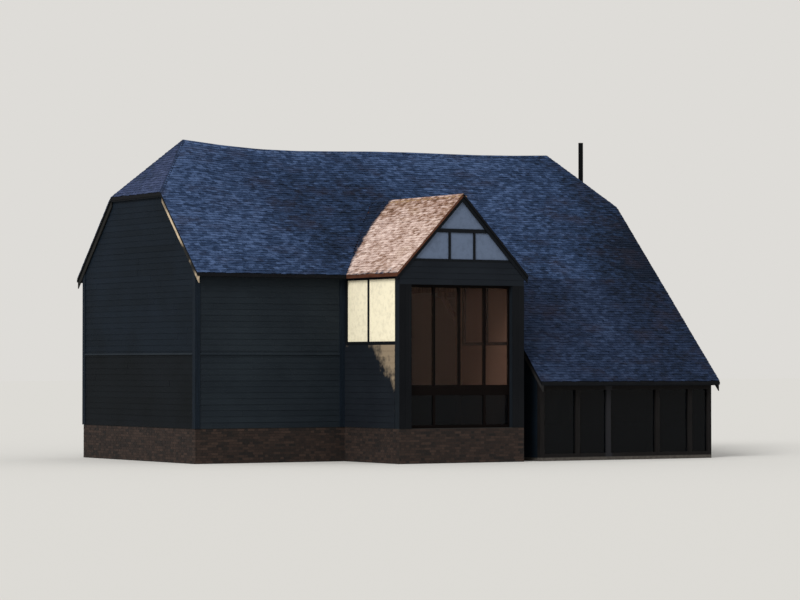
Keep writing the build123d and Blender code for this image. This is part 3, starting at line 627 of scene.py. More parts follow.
def lay_tiles(roof, across, up, pitch, ends, seed, spare=0.0):
    """Courses of tiles on a slope: across it, up it in plan, and clear of it, with each tile's tone. Each
    course is a row of wedges set half a tile along from the last and trimmed at the slope's edges."""
    chance = np.random.default_rng(seed)
    courses = int(round(up / (roof.tile_gauge * np.cos(pitch))))
    columns = int((across[1] - across[0]) / roof.tile_width) + 2
    grid = np.meshgrid(np.arange(courses), np.arange(columns), indexing="ij")
    course, column = (part.ravel() for part in grid)
    count = len(course)

    def stray(amount, number=count):
        """A random length for each tile, or each course."""
        return chance.normal(0, amount, number)

    middle = across[0] + (column + 0.5 * (course % 2)) * roof.tile_width + stray(TILE_SIDEWAYS)
    butt = ((roof.tile_thickness + TILE_FOOT) * np.sin(pitch) + course * (up / courses)
            + stray(COURSE_STRAY, courses)[course] + stray(TILE_STRAY))
    skew = stray(TILE_SKEW)[:, None] * LEFT_RIGHT
    lift = (TILE_LIFT + np.abs(stray(roof.tile_unevenness)).clip(0, MORE_LIFT))[:, None]
    tilt = stray(TILE_TILT)[:, None] * LEFT_RIGHT
    length = (roof.tile_gauge + roof.tile_tail) * np.cos(pitch)
    v = np.clip(butt[:, None] + FAR_SIDE * length + skew, 0, up + spare)
    u = middle[:, None] + LEFT_RIGHT * (roof.tile_width / 2 - roof.tile_joint)
    u = np.clip(u, *ends(np.broadcast_to(middle[:, None], u.shape), v))
    under = np.where(FAR_SIDE == 1, TILE_UNDER, lift)
    over = np.where(FAR_SIDE == 1, TILE_OVER, lift + roof.tile_thickness)
    h = np.where(OUTSIDE == 1, over, under) + np.where(FAR_SIDE == 1, 0, tilt)
    keep = (u[:, 1] - u[:, 0] > LEAST_TILE[0]) & (v[:, 2] - v[:, 1] > LEAST_TILE[1])
    return u[keep], v[keep], h[keep], chance.beta(*TILE_TONES, count)[keep]


def main_tiles(roof, porch, seed):
    """Tiles of one main slope as corners: flat across, following the sag, cut at the hips and the porch."""
    valley_x, valley_y = valley_line(roof)

    def ends(middle, v):
        """Left and right limits of a tile, from the hips and, below the porch ridge, the valleys."""
        y = EAVE_LINE + v
        inset = np.clip((y - (MIDDLE - HIP_HALF)) / HIP_HALF, 0, 1) * (RIDGE_LEFT - ROOF_LEFT)
        low, high = ROOF_LEFT + inset, ROOF_RIGHT - inset
        if porch:
            near = np.interp(y, valley_y, valley_x)
            met = y < valley_y[-1]
            high = np.where(met & (middle < PORCH_MIDDLE), np.minimum(high, near), high)
            low = np.where(met & (middle >= PORCH_MIDDLE), np.maximum(low, 2 * PORCH_MIDDLE - near), low)
        return low, high

    pitch = np.arctan(FALL)
    u, v, h, tone = lay_tiles(roof, (ROOF_LEFT, ROOF_RIGHT), MIDDLE - EAVE_LINE, pitch, ends, seed)
    y = EAVE_LINE + v
    return np.stack([u, y - h * np.sin(pitch), main_height(roof, u, y) + h * np.cos(pitch)], axis=-1), tone


def side_tiles(roof, foot, level, fall, reach, back, front, seed):
    """Tiles of a slope that falls to the left, from its foot up, cut at a back line and a front line."""
    pitch = np.arctan(fall)

    def ends(middle, v):
        """Limits along the slope: the front edge is the greater, because the run goes towards the front."""
        return -back(foot + v), -front(foot + v)

    across = -back(foot + np.array([0.0, reach])).max(), -front(np.array([foot])).min()
    u, v, h, tone = lay_tiles(roof, across, reach, pitch, ends, seed)
    return np.stack([foot + v - h * np.sin(pitch), -u, level + v * fall + h * np.cos(pitch)], axis=-1), tone


def add_side_tiles(pieces, plane, *slope):
    """Makes the tiles of a slope that falls to the left, and its mirror image in a plane across the barn."""
    for turned, (name, material, seed) in enumerate(pieces):
        corners, tone = side_tiles(*slope, seed)
        add_blocks(name, material, "tiles", mirrored(corners, 0, plane) if turned else corners, tone,
                   turned=bool(turned))


def main_palette(roof):
    """Colours of the main slopes' tiles."""
    return roof.shade, roof.body, roof.light, roof.stain


def painted_shadow_palette(roof):
    """Colours of tiles in the painted shadow of the barn's own roof, where frost is kept."""
    return roof.lee_shade, roof.shade, roof.body, roof.stain


class BARN_OT_main_tiles(bpy.types.Operator):
    """Lays the peg tiles of both main slopes"""
    bl_idname = "barn.main_tiles"
    bl_label = "Main Roof Tiles"

    def execute(self, context):
        roof = context.scene.barn_roof
        # Frosted tiles in painted shade
        material = peg_tiles("weathered_peg_tiles", main_palette(roof), ALONG_BARN, streak=0.6, thaw=FROST)
        add_blocks("front_peg_tiles", material, "tiles", *main_tiles(roof, porch=True, seed=11))
        corners, tone = main_tiles(roof, porch=False, seed=12)
        add_blocks("rear_peg_tiles", material, "tiles", mirrored(corners, 1, MIDDLE), tone, turned=True)
        return {"FINISHED"}


class BARN_OT_catslide_tiles(bpy.types.Operator):
    """Lays the peg tiles of the catslide"""
    bl_idname = "barn.catslide_tiles"
    bl_label = "Catslide Tiles"

    def execute(self, context):
        roof = context.scene.barn_roof
        # Frosted tiles in deeper painted shade
        palette = roof.lee_shade, roof.lee_body, roof.lee_light, roof.stain
        material = peg_tiles("catslide_peg_tiles", palette, ALONG_BARN, thaw=LEE_FROST)
        pitch = np.arctan(FALL)
        left, right, foot = CATSLIDE[0][0], CATSLIDE[1][0], CATSLIDE[0][1]
        reach = EAVE_LINE - foot
        # The top course runs a little way on, under the main slope's first
        u, v, h, tone = lay_tiles(roof, (left, right), reach, pitch, lambda middle, v: (left, right), seed=13,
                                  spare=0.06)
        z = EAVE + (v - reach) * FALL
        corners = np.stack([u, foot + v - h * np.sin(pitch), z + h * np.cos(pitch)], axis=-1)
        add_blocks("catslide_peg_tiles", material, "tiles", corners, tone)
        return {"FINISHED"}


class BARN_OT_half_hip_tiles(bpy.types.Operator):
    """Lays the peg tiles of the two half-hips"""
    bl_idname = "barn.half_hip_tiles"
    bl_label = "Half-hip Tiles"

    def execute(self, context):
        roof = context.scene.barn_roof
        # Frosted tiles in painted shade
        material = peg_tiles("half_hip_peg_tiles", (roof.hip_shade, roof.hip_body, roof.hip_light, roof.body),
                             ACROSS_BARN)
        run = RIDGE_LEFT - ROOF_LEFT
        pieces = [("left_half_hip_tiles", material, 14), ("right_half_hip_tiles", material, 15)]
        add_side_tiles(pieces, CENTRE, roof, ROOF_LEFT, HIP_EAVE, HIP_FALL, run,
                       lambda x: MIDDLE + HIP_HALF * (RIDGE_LEFT - x) / run,
                       lambda x: MIDDLE - HIP_HALF * (RIDGE_LEFT - x) / run)
        return {"FINISHED"}


class BARN_OT_porch_tiles(bpy.types.Operator):
    """Lays the peg tiles of the porch roof"""
    bl_idname = "barn.porch_tiles"
    bl_label = "Porch Tiles"

    def execute(self, context):
        roof = context.scene.barn_roof
        valley_x, valley_y = valley_line(roof)
        # Painted sunlight on the left slope, with the barn roof's painted shadow beside the valley, and
        # painted shade on the right slope
        palette = roof.sunny_shade, roof.sunny_body, roof.sunny_light, roof.porch_ridge
        sunny = peg_tiles("sunny_peg_tiles", palette, ACROSS_BARN, streak=0.35, thaw=SUNNY_FROST,
                          frosted=painted_shadow_palette(roof))
        shady = peg_tiles("porch_peg_tiles", main_palette(roof), ACROSS_BARN)
        add_side_tiles([("porch_left_tiles", sunny, 16), ("porch_right_tiles", shady, 17)], PORCH_MIDDLE,
                       roof, PORCH_LEFT, EAVE, FALL, PORCH_MIDDLE - PORCH_LEFT,
                       lambda x: np.interp(x, valley_x, valley_y), lambda x: np.full_like(x, PORCH_FRONT))
        return {"FINISHED"}


def capping(line, ahead, seed, radius, length, foot_fall):
    """Rings of half-round tiles along a line of points: each tile's wide start laps the last one's end."""
    chance = np.random.default_rng(seed)
    run = np.concatenate([[0], np.cumsum(np.linalg.norm(np.diff(line, axis=0), axis=1))])
    count = max(int(run[-1] / length), 1)
    edges = np.linspace(0, run[-1], count + 1)
    ends = np.stack([edges[:-1], np.minimum(edges[1:] + ROUND_LAP, run[-1])], axis=1)
    swell = np.array(ROUND_SWELL) + chance.normal(0, ROUND_STRAY, (count, 2))
    angle = np.linspace(0, np.pi, ROUND_POINTS)
    reach = (radius + swell)[..., None]
    side, rise = reach * np.cos(angle), reach * np.sin(angle) * ROUND_RISE
    side = np.concatenate([side, np.zeros((count, 2, 1))], axis=2)
    rise = np.concatenate([rise - radius * foot_fall, np.full((count, 2, 1), ROUND_UNDER)], axis=2)
    centre = np.stack([np.interp(ends, run, line[:, axis]) for axis in range(3)], axis=-1)
    across = np.cross(ahead, (0, 0, 1))
    across = across / np.linalg.norm(across)
    rings = centre[:, :, None, :] + side[..., None] * across + rise[..., None] * np.array([0, 0, 1.0])
    return rings, chance.uniform(*ROUND_TONES, count)


class BARN_OT_ridge_tiles(bpy.types.Operator):
    """Lays the half-round ridge tiles of the barn and of its porch"""
    bl_idname = "barn.ridge_tiles"
    bl_label = "Ridge Tiles"

    def execute(self, context):
        roof = context.scene.barn_roof
        places, heights = ridge_stations(roof)
        palette = roof.body, roof.ridge, roof.light, roof.stain
        dark = peg_tiles("main_ridge_tiles", palette, ALONG_BARN, streak=0.2, thaw=RIDGE_FROST)
        # The porch's ridge is in painted sunlight, with the barn roof's painted shadow at its back
        palette = roof.sunny_shade, roof.porch_ridge, roof.sunny_body, roof.porch_ridge
        warm = peg_tiles("porch_ridge_tiles", palette, ACROSS_BARN, streak=0.2, frosted=painted_shadow_palette(roof))
        low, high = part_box("porch_ridge_tiles")
        barn_line = np.stack([places, np.full_like(places, MIDDLE), heights], axis=1)
        porch_line = np.array([[PORCH_MIDDLE, low[1], PORCH_RIDGE], [PORCH_MIDDLE, high[1], PORCH_RIDGE]])
        shape = RIDGE_RADIUS, roof.ridge_tile_length, FALL
        ridge = add_rings("ridge_capping", dark, *capping(barn_line, (1, 0, 0), 21, *shape))
        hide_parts("main_ridge_tiles")
        ridge = add_rings("porch_ridge_capping", warm, *capping(porch_line, (0, 1, 0), 22, *shape))
        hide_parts("porch_ridge_tiles")
        return {"FINISHED"}


class BARN_OT_hip_tiles(bpy.types.Operator):
    """Lays the bonnet tiles down the four hips"""
    bl_idname = "barn.hip_tiles"
    bl_label = "Hip Tiles"

    def execute(self, context):
        roof = context.scene.barn_roof
        palette = roof.shade, roof.bonnet, roof.body, roof.stain
        material = peg_tiles("bonnet_tiles", palette, ALONG_BARN, streak=0.2)
        foot = np.array([ROOF_LEFT, MIDDLE - HIP_HALF, HIP_EAVE])
        top = np.array([RIDGE_LEFT, MIDDLE, RIDGE])
        ahead = np.array([*(top - foot)[:2], 0])
        line = np.array([foot, top])
        rings, tone = capping(line, ahead, 23, BONNET_RADIUS, roof.bonnet_gauge, BONNET_FALL)
        inside = np.clip(rings, (ROOF_LEFT, -BEYOND, -BEYOND), (BEYOND, BEYOND, BEYOND))
        pair = np.concatenate([inside, mirrored(inside, 1, MIDDLE)[:, :, ::-1]])
        far = mirrored(pair, 0, CENTRE)[:, :, ::-1]
        bonnets = add_rings("bonnet_tiles", material, np.concatenate([pair, far]), np.tile(tone, 4))
        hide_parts("hip_tiles")
        return {"FINISHED"}


def face_of(side, node, left=None, right=None):
    """Ends, foot, head and placing of one face of a node's box, run from left to right as seen from outside.
    Other ends may be given. The placing turns a run, a height and a thickness into a point."""
    (x0, y0, foot), (x1, y1, head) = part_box(node)
    ends, place = {
        "front": ((x0, x1), lambda u, z, h: np.stack([u, y0 - h, z], axis=-1)),
        "back": ((-x1, -x0), lambda u, z, h: np.stack([-u, y1 + h, z], axis=-1)),
        "left": ((-y1, -y0), lambda u, z, h: np.stack([x0 - h, -u, z], axis=-1)),
        "right": ((y0, y1), lambda u, z, h: np.stack([x1 + h, u, z], axis=-1)),
    }[side]
    return ends[0] if left is None else left, ends[1] if right is None else right, foot, head, place


def weatherboards(wall, left, right, bottom, top, place, seed, limits=None, under=None):
    """Feather-edged boards lapped up a wall: blocks between butt joints, thick at the lower edge and thin at
    the upper, with their tones and the run along each board."""
    chance = np.random.default_rng(seed)
    rows = int(np.ceil((top - bottom) / wall.exposure))
    pieces = int(np.ceil((right - left) / wall.board_length)) + 1
    row, number = np.meshgrid(np.arange(rows), np.arange(pieces), indexing="ij")
    start = chance.uniform(0, 1, rows)[:, None]
    near = (left + (number - start) * wall.board_length).ravel()
    row = row.ravel()
    u = near[:, None] + (LEFT_RIGHT + 1) / 2 * wall.board_length - LEFT_RIGHT * BUTT_GAP
    z = bottom + row[:, None] * wall.exposure + FAR_SIDE * (wall.exposure + wall.lap)
    z = z + chance.normal(0, BOARD_STRAY, len(row))[:, None] * (1 - FAR_SIDE)
    z = np.clip(z, bottom, top)
    low, high = limits(z) if limits else (left, right)
    u = np.clip(u, np.maximum(left, low), np.minimum(right, high))
    z = np.minimum(z, under(u)) if under else z
    proud = np.where(FAR_SIDE == 1, wall.upper_edge, wall.lower_edge)
    h = OUTSIDE * (proud + chance.normal(0, FACE_STRAY, len(row))[:, None])
    long = (u[:, 1] - u[:, 0] > LEAST_BOARD[0]) | (u[:, 2] - u[:, 3] > LEAST_BOARD[0])
    keep = long & (z[:, 2] - z[:, 1] > LEAST_BOARD[1])
    u, z, h, row = u[keep], z[keep], h[keep], row[keep]
    # Each row reads the grain from a place of its own
    along = np.stack([u + row[:, None] * ROW_ALONG, z + h + row[:, None] * ROW_ACROSS], axis=-1)
    return place(u, z, h), chance.uniform(0, 1, len(row)), along


def add_boards(name, wall, material, *walls):
    """Makes one piece of boards from several walls."""
    add_joined(name, material, "boards", [weatherboards(wall, *entry) for entry in walls])


def closing(middle, reach):
    """Ends of boards that close in on a middle line, by their reach at each height."""
    return lambda z: (middle - reach(z), middle + reach(z))


def over_floor(node, spare):
    """Middle and reach of a floor along and across the barn, with some to spare at its edges."""
    low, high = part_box(node)
    return [(axis, (low[axis] + high[axis]) / 2, (high[axis] - low[axis]) / 2 + spare) for axis in (0, 1)]


class BARN_OT_weatherboards(bpy.types.Operator):
    """Boards the outside walls of the main range"""
    bl_idname = "barn.weatherboards"
    bl_label = "Weatherboards"

    def execute(self, context):
        wall, roof = context.scene.barn_wall, context.scene.barn_roof
        near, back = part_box("front_wall")[0][1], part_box("rear_walls")[1][1]
        leaf_left, leaf_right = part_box("rear_door_left")[0][0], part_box("rear_door_right")[1][0]
        (_, gable_front, _), (_, gable_back, _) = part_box("left_gable_wall")
        shoulder = EAVE - DEPTH + FALL * (near - EAVE_LINE)

        def gable_reach(z):
            """Half the width of a gable, closing in above its shoulders as the roof does."""
            return (gable_back - gable_front) / 2 - np.clip(z - shoulder, 0, None) / FALL

        def under_main(sign, face):
            """Heights at which the boards of a wall stop, just below the main roof."""
            return lambda u: main_height(roof, sign * u, np.full_like(u, face)) - DEPTH - HEAD_GAP

        left, right, *others = face_of("front", "front_wall")
        front_run = left - WALL + CORNER_BOARD, right - WALL, *others
        left, right, *others = face_of("left", "left_gable_wall")
        gable_run = left + CORNER_BOARD, right - CORNER_BOARD, *others
        left, right, *others = face_of("back", "rear_walls")
        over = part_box("rear_wall_over")[0][2]
        # Every wall ends in the seed of its boards, and those under a slope in the slope's limits
        black = stained_boards("black_weatherboards", wall.boards, wall.boards_worn)
        add_boards("barn_weatherboards", wall, black,
                   (*front_run, 31, None, under_main(1, near)), (*face_of("front", "slot_wall"), 34),
                   (left - WALL + CORNER_BOARD, -leaf_right, *others, 35, None, under_main(-1, back)),
                   (-leaf_left, right + WALL - CORNER_BOARD, *others, 36, None, under_main(-1, back)),
                   (-leaf_right, -leaf_left, over, *others[1:], 37, None, under_main(-1, back)))
        left, right, *others = face_of("right", "right_gable_wall")
        # The gables' boards are darker than the front's as painted shade; the left gable is darker and
        # browner still below its drip board
        darkened = [(0, ROOF_LEFT, 1.0), (2, 0.0, wall.drip_height)]
        add_boards("gable_weatherboards", wall,
                   stained_boards("black_gable_boards", wall.gable_boards, wall.gable_worn, darkened=darkened),
                   (*gable_run, 32, closing(-MIDDLE, gable_reach)),
                   (left, right - CORNER_BOARD, *others, 33, closing(MIDDLE, gable_reach)))
        strips = []
        for left, right, _, _, place in (front_run, gable_run):
            u = np.where(LEFT_RIGHT < 0, left, right)[None]
            z = wall.drip_height + FAR_SIDE[None] * DRIP_BOARD
            h = OUTSIDE[None] * np.where(FAR_SIDE == 1, DRIP_HEAD, DRIP_FOOT)
            strips.append((place(u, z, h), np.ones(1), np.stack([u, z], axis=-1)))
        add_joined("drip_boards", black, "boards", strips)
        # Painted light: the walls' inner faces are near white
        set_finish(sawn_timber("wall_lining", wall.boards, (20, 20, 20), lining=wall.lining_with_painted_light,
                               inside=over_floor("threshing_floor", spare=0.2)),
                   "front_wall", "left_gable_wall", "right_gable_wall", "slot_wall", "rear_walls",
                   "rear_wall_over")
        # Painted shade: the corner boards are as dark as the gables' boards
        set_finish(sawn_timber("corner_boards", wall.gable_worn, (40, 40, 2), wall.gable_boards),
                   "corner_boards")
        return {"FINISHED"}


def upright_planks(wall, left, right, bottom, top, place, seed):
    """Upright planks side by side over a face: blocks from foot to head, with their tones and their runs."""
    chance = np.random.default_rng(seed)
    count = max(int(round((right - left) / wall.plank_width)), 1)
    edges = np.linspace(left, right, count + 1)
    u = np.where(LEFT_RIGHT < 0, edges[:-1, None] + PLANK_GAP, edges[1:, None] - PLANK_GAP)
    z = bottom + FAR_SIDE * (top - bottom) * np.ones((count, 1))
    h = OUTSIDE * (PLANK + chance.normal(0, BOARD_STRAY, count)[:, None])
    return place(u, z, h), chance.uniform(0, 1, count), np.stack([z, u], axis=-1)


class BARN_OT_porch_boards(bpy.types.Operator):
    """Boards the lower sides, the corner posts and the band of the porch"""
    bl_idname = "barn.porch_boards"
    bl_label = "Porch Boards"

    def execute(self, context):
        wall = context.scene.barn_wall
        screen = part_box("porch_screen_frame")
        # Painted shade: the porch's boards are darker than the front's
        material = stained_boards("black_porch_boards", wall.porch_boards, wall.porch_worn)
        # Painted sunlight on the left side's boards under the panels
        sunlit_patch = stained_boards("porch_boards_in_painted_sun", wall.porch_boards, wall.porch_worn, wall.sunlit_patch)
        under_porch = closing(PORCH_MIDDLE, lambda z: (PORCH_RIDGE - DEPTH - z) / FALL)
        add_boards("porch_left_weatherboards", wall, sunlit_patch, (*face_of("left", "porch_side_boarding"), 41))
        add_boards("porch_weatherboards", wall, material, (*face_of("right", "porch_side_boarding"), 42),
                   (*face_of("front", "porch_band"), 45, under_porch))
        # Painted shade: the post planks are the darkest boards
        planks = stained_boards("black_post_planks", wall.posts, wall.posts_worn)
        add_joined("porch_post_planks", planks, "boards",
                   [upright_planks(wall, *face_of("front", "porch_corner_posts", right=screen[0][0]), 43),
                    upright_planks(wall, *face_of("front", "porch_corner_posts", left=screen[1][0]), 44)])
        set_finish(sawn_timber("porch_backing", wall.boards, (30, 30, 3), shaded(wall.boards, 0.6)),
                   "porch_corner_posts", "porch_band")
        set_finish(sawn_timber("porch_lining", wall.lining, (20, 20, 20), shaded(wall.lining, 0.6)),
                   "porch_side_boarding")
        return {"FINISHED"}


class BARN_OT_outshot_boards(bpy.types.Operator):
    """Boards the side walls of the outshot"""
    bl_idname = "barn.outshot_boards"
    bl_label = "Outshot Boards"

    def execute(self, context):
        wall = context.scene.barn_wall
        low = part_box("outshot_right_wall")[0][2]

        def slope(z):
            """Where the catslide comes down to a height, from front to back, and no edge near the foot."""
            return np.where(z > low + 1.0, EAVE_LINE - (EAVE - DEPTH - z) / FALL, -BEYOND)

        # Painted shade: the outshot's boards are as dark as the gables'
        add_boards("outshot_weatherboards", wall,
                   stained_boards("black_outshot_boards", wall.gable_boards, wall.gable_worn),
                   (*face_of("left", "outshot_left_wall"), 51, lambda z: (-BEYOND, -slope(z))),
                   (*face_of("right", "outshot_right_wall"), 52, lambda z: (slope(z), BEYOND)))
        # Painted shade: the outshot's lining is darker than the porch's
        set_finish(sawn_timber("outshot_lining", shaded(wall.lining, 0.5), (20, 20, 20),
                               shaded(wall.lining, 0.3)),
                   "outshot_left_wall", "outshot_right_wall")
        return {"FINISHED"}


class BARN_OT_rear_doors(bpy.types.Operator):
    """Planks the two doors at the back"""
    bl_idname = "barn.rear_doors"
    bl_label = "Rear Doors"

    def execute(self, context):
        wall = context.scene.barn_wall
        low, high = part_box("rear_door_left")
        # Each leaf's planks stop at the cover strip over the doors' joint
        leaf = high[0] - low[0]
        faces = [face_of("back", "rear_door_left", near - PORCH_MIDDLE, far - PORCH_MIDDLE)
                 for near, far in ((COVER_STRIP, leaf), (-leaf, -COVER_STRIP))]
        planks = stained_boards("black_door_planks", wall.boards, wall.boards_worn)
        add_joined("door_planks", planks, "boards",
                   [upright_planks(wall, *face, seed) for seed, face in enumerate(faces, 61)])
        # The leaves are pale from their inner faces to 30 mm in: painted light inside the barn
        set_finish(sawn_timber("door_backing", wall.boards, (30, 30, 3), shaded(wall.boards, 0.6),
                               lining=wall.lining_with_painted_light, inside=[(1, MIDDLE, low[1] + 0.03 - MIDDLE)]),
                   "rear_door_left", "rear_door_right")
        return {"FINISHED"}


def brickwork(wall, left, right, bottom, top, place, seed):
    """Brick faces in courses of a long brick and a short one in turn, each course set half a pair along."""
    chance = np.random.default_rng(seed)
    height = wall.brick_height + wall.brick_joint
    pair = wall.brick_length * 1.5 + 1.5 * wall.brick_joint
    rows = int((top - bottom) / height)
    pairs = int((right - left) / pair) + 3
    grid = np.meshgrid(np.arange(rows), np.arange(pairs), np.arange(2), indexing="ij")
    row, number, short = (part.ravel() for part in grid)
    near = left + (number - 1) * pair + (row % 2) * pair / 2 + short * (wall.brick_length + wall.brick_joint)
    length = np.where(short == 1, (wall.brick_length - wall.brick_joint) / 2, wall.brick_length)
    u = near[:, None] + (LEFT_RIGHT + 1) / 2 * length[:, None] + chance.normal(0, BRICK_STRAY, (len(row), 1))
    u = np.clip(u, left, right)
    spare = (top - bottom - rows * height) / 2
    z = bottom + spare + row[:, None] * height + wall.brick_joint / 2 + FAR_SIDE * wall.brick_height
    h = OUTSIDE * (wall.brick_proud + chance.normal(0, FACE_STRAY, (len(row), 1)))
    keep = u[:, 1] - u[:, 0] > LEAST_BRICK
    return place(u[keep], z[keep], h[keep]), chance.beta(*BRICK_TONES, keep.sum())


class BARN_OT_brickwork(bpy.types.Operator):
    """Lays the bricks of the plinths"""
    bl_idname = "barn.brickwork"
    bl_label = "Brickwork"

    def execute(self, context):
        wall = context.scene.barn_wall
        left, right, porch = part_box("left_plinth"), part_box("right_plinth"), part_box("porch_front_plinth")
        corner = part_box("porch_side_plinths")[1][1] - PLINTH
        faces = [face_of("left", "left_plinth"),
                 face_of("front", "front_plinth", left=left[0][0]),
                 face_of("left", "porch_side_plinths", -corner, -porch[0][1]),
                 face_of("front", "porch_front_plinth"),
                 face_of("right", "porch_side_plinths", porch[0][1], corner),
                 face_of("front", "aisle_plinth", right=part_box("outshot_left_wall")[0][0]),
                 face_of("right", "right_plinth"),
                 face_of("back", "rear_plinth", -right[1][0], -left[0][0])]
        # Painted shade: bricks and mortar are darkened
        bricks = clay_bricks("stock_bricks", wall.brick_dark, wall.brick, wall.brick_light)
        add_joined("plinth_bricks", bricks, "brick",
                   [brickwork(wall, *face, seed) for seed, face in enumerate(faces, 71)])
        set_finish(rough_stone("lime_mortar", wall.mortar, spots=60.0), "left_plinth", "front_plinth",
                   "rear_plinth", "right_plinth", "aisle_plinth", "porch_side_plinths", "porch_front_plinth")
        return {"FINISHED"}


class BARN_OT_frame_finish(bpy.types.Operator):
    """Finishes the panels, timbers, screens, floors and metal of the frame"""
    bl_idname = "barn.frame_finish"
    bl_label = "Frame Finishes"

    def execute(self, context):
        wall, timber, roof = context.scene.barn_wall, context.scene.barn_timber, context.scene.barn_roof
        low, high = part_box("porch_side_panels")
        # The side panels are boarded on their inner faces, from 50 mm behind the outer ones
        inside = [(0, PORCH_MIDDLE, (high[0] - low[0]) / 2 - 0.05)]
        set_finish(lime_render("cream_limewash", wall.sunny_render, wall.lining, inside), "porch_side_panels")
        # Painted shade: the gable panels are grey
        set_finish(lime_render("limewash_in_painted_shade", wall.gable_render), "porch_gable_panels")
        set_finish(sawn_timber("stained_timber", timber.stained, (40, 40, 4)),
                   "porch_side_frames", "porch_gable_frame", "porch_bargeboards", "eaves_boards")
        set_finish(sawn_timber("screen_joinery", timber.joinery, (50, 50, 4), roughness=0.8, specular=0.05),
                   "porch_screen_frame")
        # The porch's upper panes: dust with painted reflection and painted light; lower and outshot panes: a
        # film of painted shade
        set_finish(window_glass("porch_glass", timber.film, cover=0.17, low=TRANSOM, dark=timber.glass),
                   "porch_screen_glass")
        set_finish(window_glass("outshot_glass", timber.glass, cover=0.85), "outshot_glass")
        # Painted light: the oak inside is pale
        set_finish(sawn_timber("old_oak", timber.oak, (25, 25, 3), timber.oak_dark),
                   "arcade_posts", "tie_beams", "front_plate", "braces", "roof_trusses", "purlins")
        set_finish(sawn_timber("weathered_oak", timber.outside_oak, (25, 25, 3), lining=timber.pale_post_oak,
                               inside=[(0, PALE_POST, POST_REACH)]),
                   "outshot_posts", "outshot_beam", "outshot_sills")
        # Weathering with painted sunlight on the pale front boards, painted shade on the dark rear ones
        set_finish(verge_boards("weathered_and_sunlit_verge_boards", timber.verge, timber.verge_dark),
                   "left_bargeboards")
        set_finish(sawn_timber("grey_verge_boards", timber.verge_grey, (30, 2, 2),
                               shaded(timber.verge_grey, 0.45)),
                   "right_bargeboards")
        set_finish(painted_steel("stove_pipe", timber.metal), "flue_pipe")
        # Painted light: the paving is pale
        set_finish(rough_stone("worn_paving", timber.flags, spots=12.0), "threshing_floor", "porch_floor")
        # Painted shade: the outshot's paving is a darker copy of the barn's
        set_finish(rough_stone("paving_in_painted_shade", shaded(timber.flags, 0.12), spots=12.0), "outshot_floor")
        set_finish(sawn_timber("battens_and_felt", roof.underlay, (3, 14, 14)),
                   "left_half_hip", "right_half_hip", "porch_roof_right")
        # Painted light: the roofs' undersides are near white over the floors
        for node, floor in (("front_roof", "threshing_floor"), ("rear_roof", "threshing_floor"),
                            ("catslide_roof", "outshot_floor")):
            set_finish(sawn_timber(node + "_battens", roof.underlay, (3, 14, 14), lining=wall.lining_with_painted_light,
                                   inside=over_floor(floor, spare=-0.05), ceiling=True), node)
        # Painted sunlight: the porch's left eave is brown
        set_finish(sawn_timber("clay_and_battens", roof.sunny_edge, (14, 3, 14)), "porch_roof_left")
        return {"FINISHED"}


class BARN_OT_stage(bpy.types.Operator):
    """Sets the floor, the background, the light and the camera"""
    bl_idname = "barn.stage"
    bl_label = "Stage"

    def execute(self, context):
        stage, scene = context.scene.barn_stage, context.scene
        scene.view_settings.view_transform = "Standard"
        mesh = bpy.data.meshes.new("ground")
        half = 400.0
        corners = [(-half, -half, 0), (half, -half, 0), (half, half, 0), (-half, half, 0)]
        mesh.from_pydata(corners, [], [(0, 1, 2, 3)])
        floor = bpy.data.objects.new("ground", mesh)
        scene.collection.objects.link(floor)
        mesh.materials.append(finished(new_material("pale_ground")[0], solid(stage.ground), 0.95, 0.0))
        world = bpy.data.worlds.new("studio")
        world.use_nodes = True
        tree = world.node_tree
        tree.nodes.clear()
        # The camera, gloss and glass see the backdrop, and everything else the even fill
        ray = add_node(tree, "LightPath").outputs
        seen = add_node(tree, "Math", [ray["Is Camera Ray"], ray["Is Glossy Ray"]], operation="MAXIMUM")
        seen = add_node(tree, "Math", [seen, ray["Is Transmission Ray"]], operation="MAXIMUM")
        light = add_node(tree, "Background", [(1, 1, 1, 1), stage.fill])
        show = add_node(tree, "Background", [solid(stage.backdrop), 1.0])
        add_node(tree, "OutputWorld", [add_node(tree, "MixShader", [seen, light, show])])
        scene.world = world
        lamp = bpy.data.lights.new("soft_key", "SUN")
        lamp.energy = stage.key
        lamp.angle = 0.45
        sun = bpy.data.objects.new("soft_key", lamp)
        shining = Vector((0.76, 0.42, -0.62))
        sun.rotation_euler = shining.to_track_quat("-Z", "Y").to_euler()
        scene.collection.objects.link(sun)
        eye = bpy.data.cameras.new("photo_view")
        eye.lens = stage.lens
        eye.sensor_width = 36
        eye.clip_end = 1500
        camera = bpy.data.objects.new("photo_view", eye)
        camera.location = stage.place
        camera.rotation_euler = (Vector(stage.aim) - Vector(stage.place)).to_track_quat("-Z", "Y").to_euler()
        scene.collection.objects.link(camera)
        scene.camera = camera
        return {"FINISHED"}


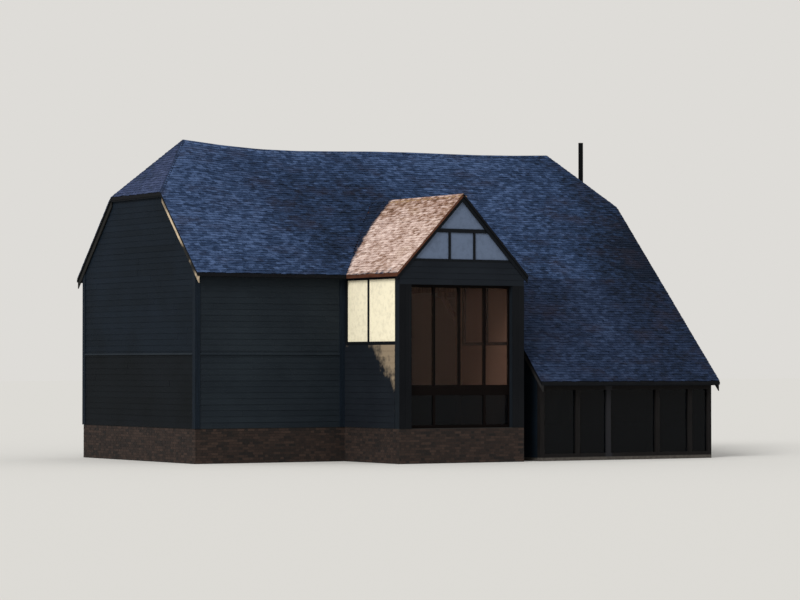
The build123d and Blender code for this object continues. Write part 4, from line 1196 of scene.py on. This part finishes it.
class BARN_PT_panel(bpy.types.Panel):
    """Lists the barn's sizes, colours and steps"""
    bl_label = "Threshing Barn"
    bl_idname = "BARN_PT_panel"
    bl_space_type = "VIEW_3D"
    bl_region_type = "UI"
    bl_category = "Barn"

    def draw(self, context):
        for settings in (context.scene.barn_roof, context.scene.barn_wall, context.scene.barn_timber,
                         context.scene.barn_stage):
            box = self.layout.box()
            for name in settings.__annotations__:
                box.prop(settings, name)
        for step in STEPS:
            self.layout.operator(step.bl_idname)


SETTINGS = {"barn_roof": BarnRoofSettings, "barn_wall": BarnWallSettings, "barn_timber": BarnTimberSettings,
            "barn_stage": BarnStageSettings}
STEPS = (BARN_OT_main_tiles, BARN_OT_catslide_tiles, BARN_OT_half_hip_tiles, BARN_OT_porch_tiles,
         BARN_OT_ridge_tiles, BARN_OT_hip_tiles, BARN_OT_weatherboards, BARN_OT_porch_boards,
         BARN_OT_outshot_boards, BARN_OT_rear_doors, BARN_OT_brickwork, BARN_OT_frame_finish, BARN_OT_stage)


def register():
    """Registers the settings, the steps and the panel."""
    for kind in (*SETTINGS.values(), *STEPS, BARN_PT_panel):
        bpy.utils.register_class(kind)
    for name, kind in SETTINGS.items():
        setattr(bpy.types.Scene, name, bpy.props.PointerProperty(type=kind))


def unregister():
    """Removes what register added."""
    for name in SETTINGS:
        delattr(bpy.types.Scene, name)
    for kind in (BARN_PT_panel, *reversed(STEPS), *reversed(SETTINGS.values())):
        bpy.utils.unregister_class(kind)


def main():
    """Dresses the whole barn."""
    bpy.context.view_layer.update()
    register()
    bpy.ops.barn.main_tiles()
    bpy.ops.barn.catslide_tiles()
    bpy.ops.barn.half_hip_tiles()
    bpy.ops.barn.porch_tiles()
    bpy.ops.barn.ridge_tiles()
    bpy.ops.barn.hip_tiles()
    bpy.ops.barn.weatherboards()
    bpy.ops.barn.porch_boards()
    bpy.ops.barn.outshot_boards()
    bpy.ops.barn.rear_doors()
    bpy.ops.barn.brickwork()
    bpy.ops.barn.frame_finish()
    bpy.ops.barn.stage()


if __name__ == "__main__":
    main()
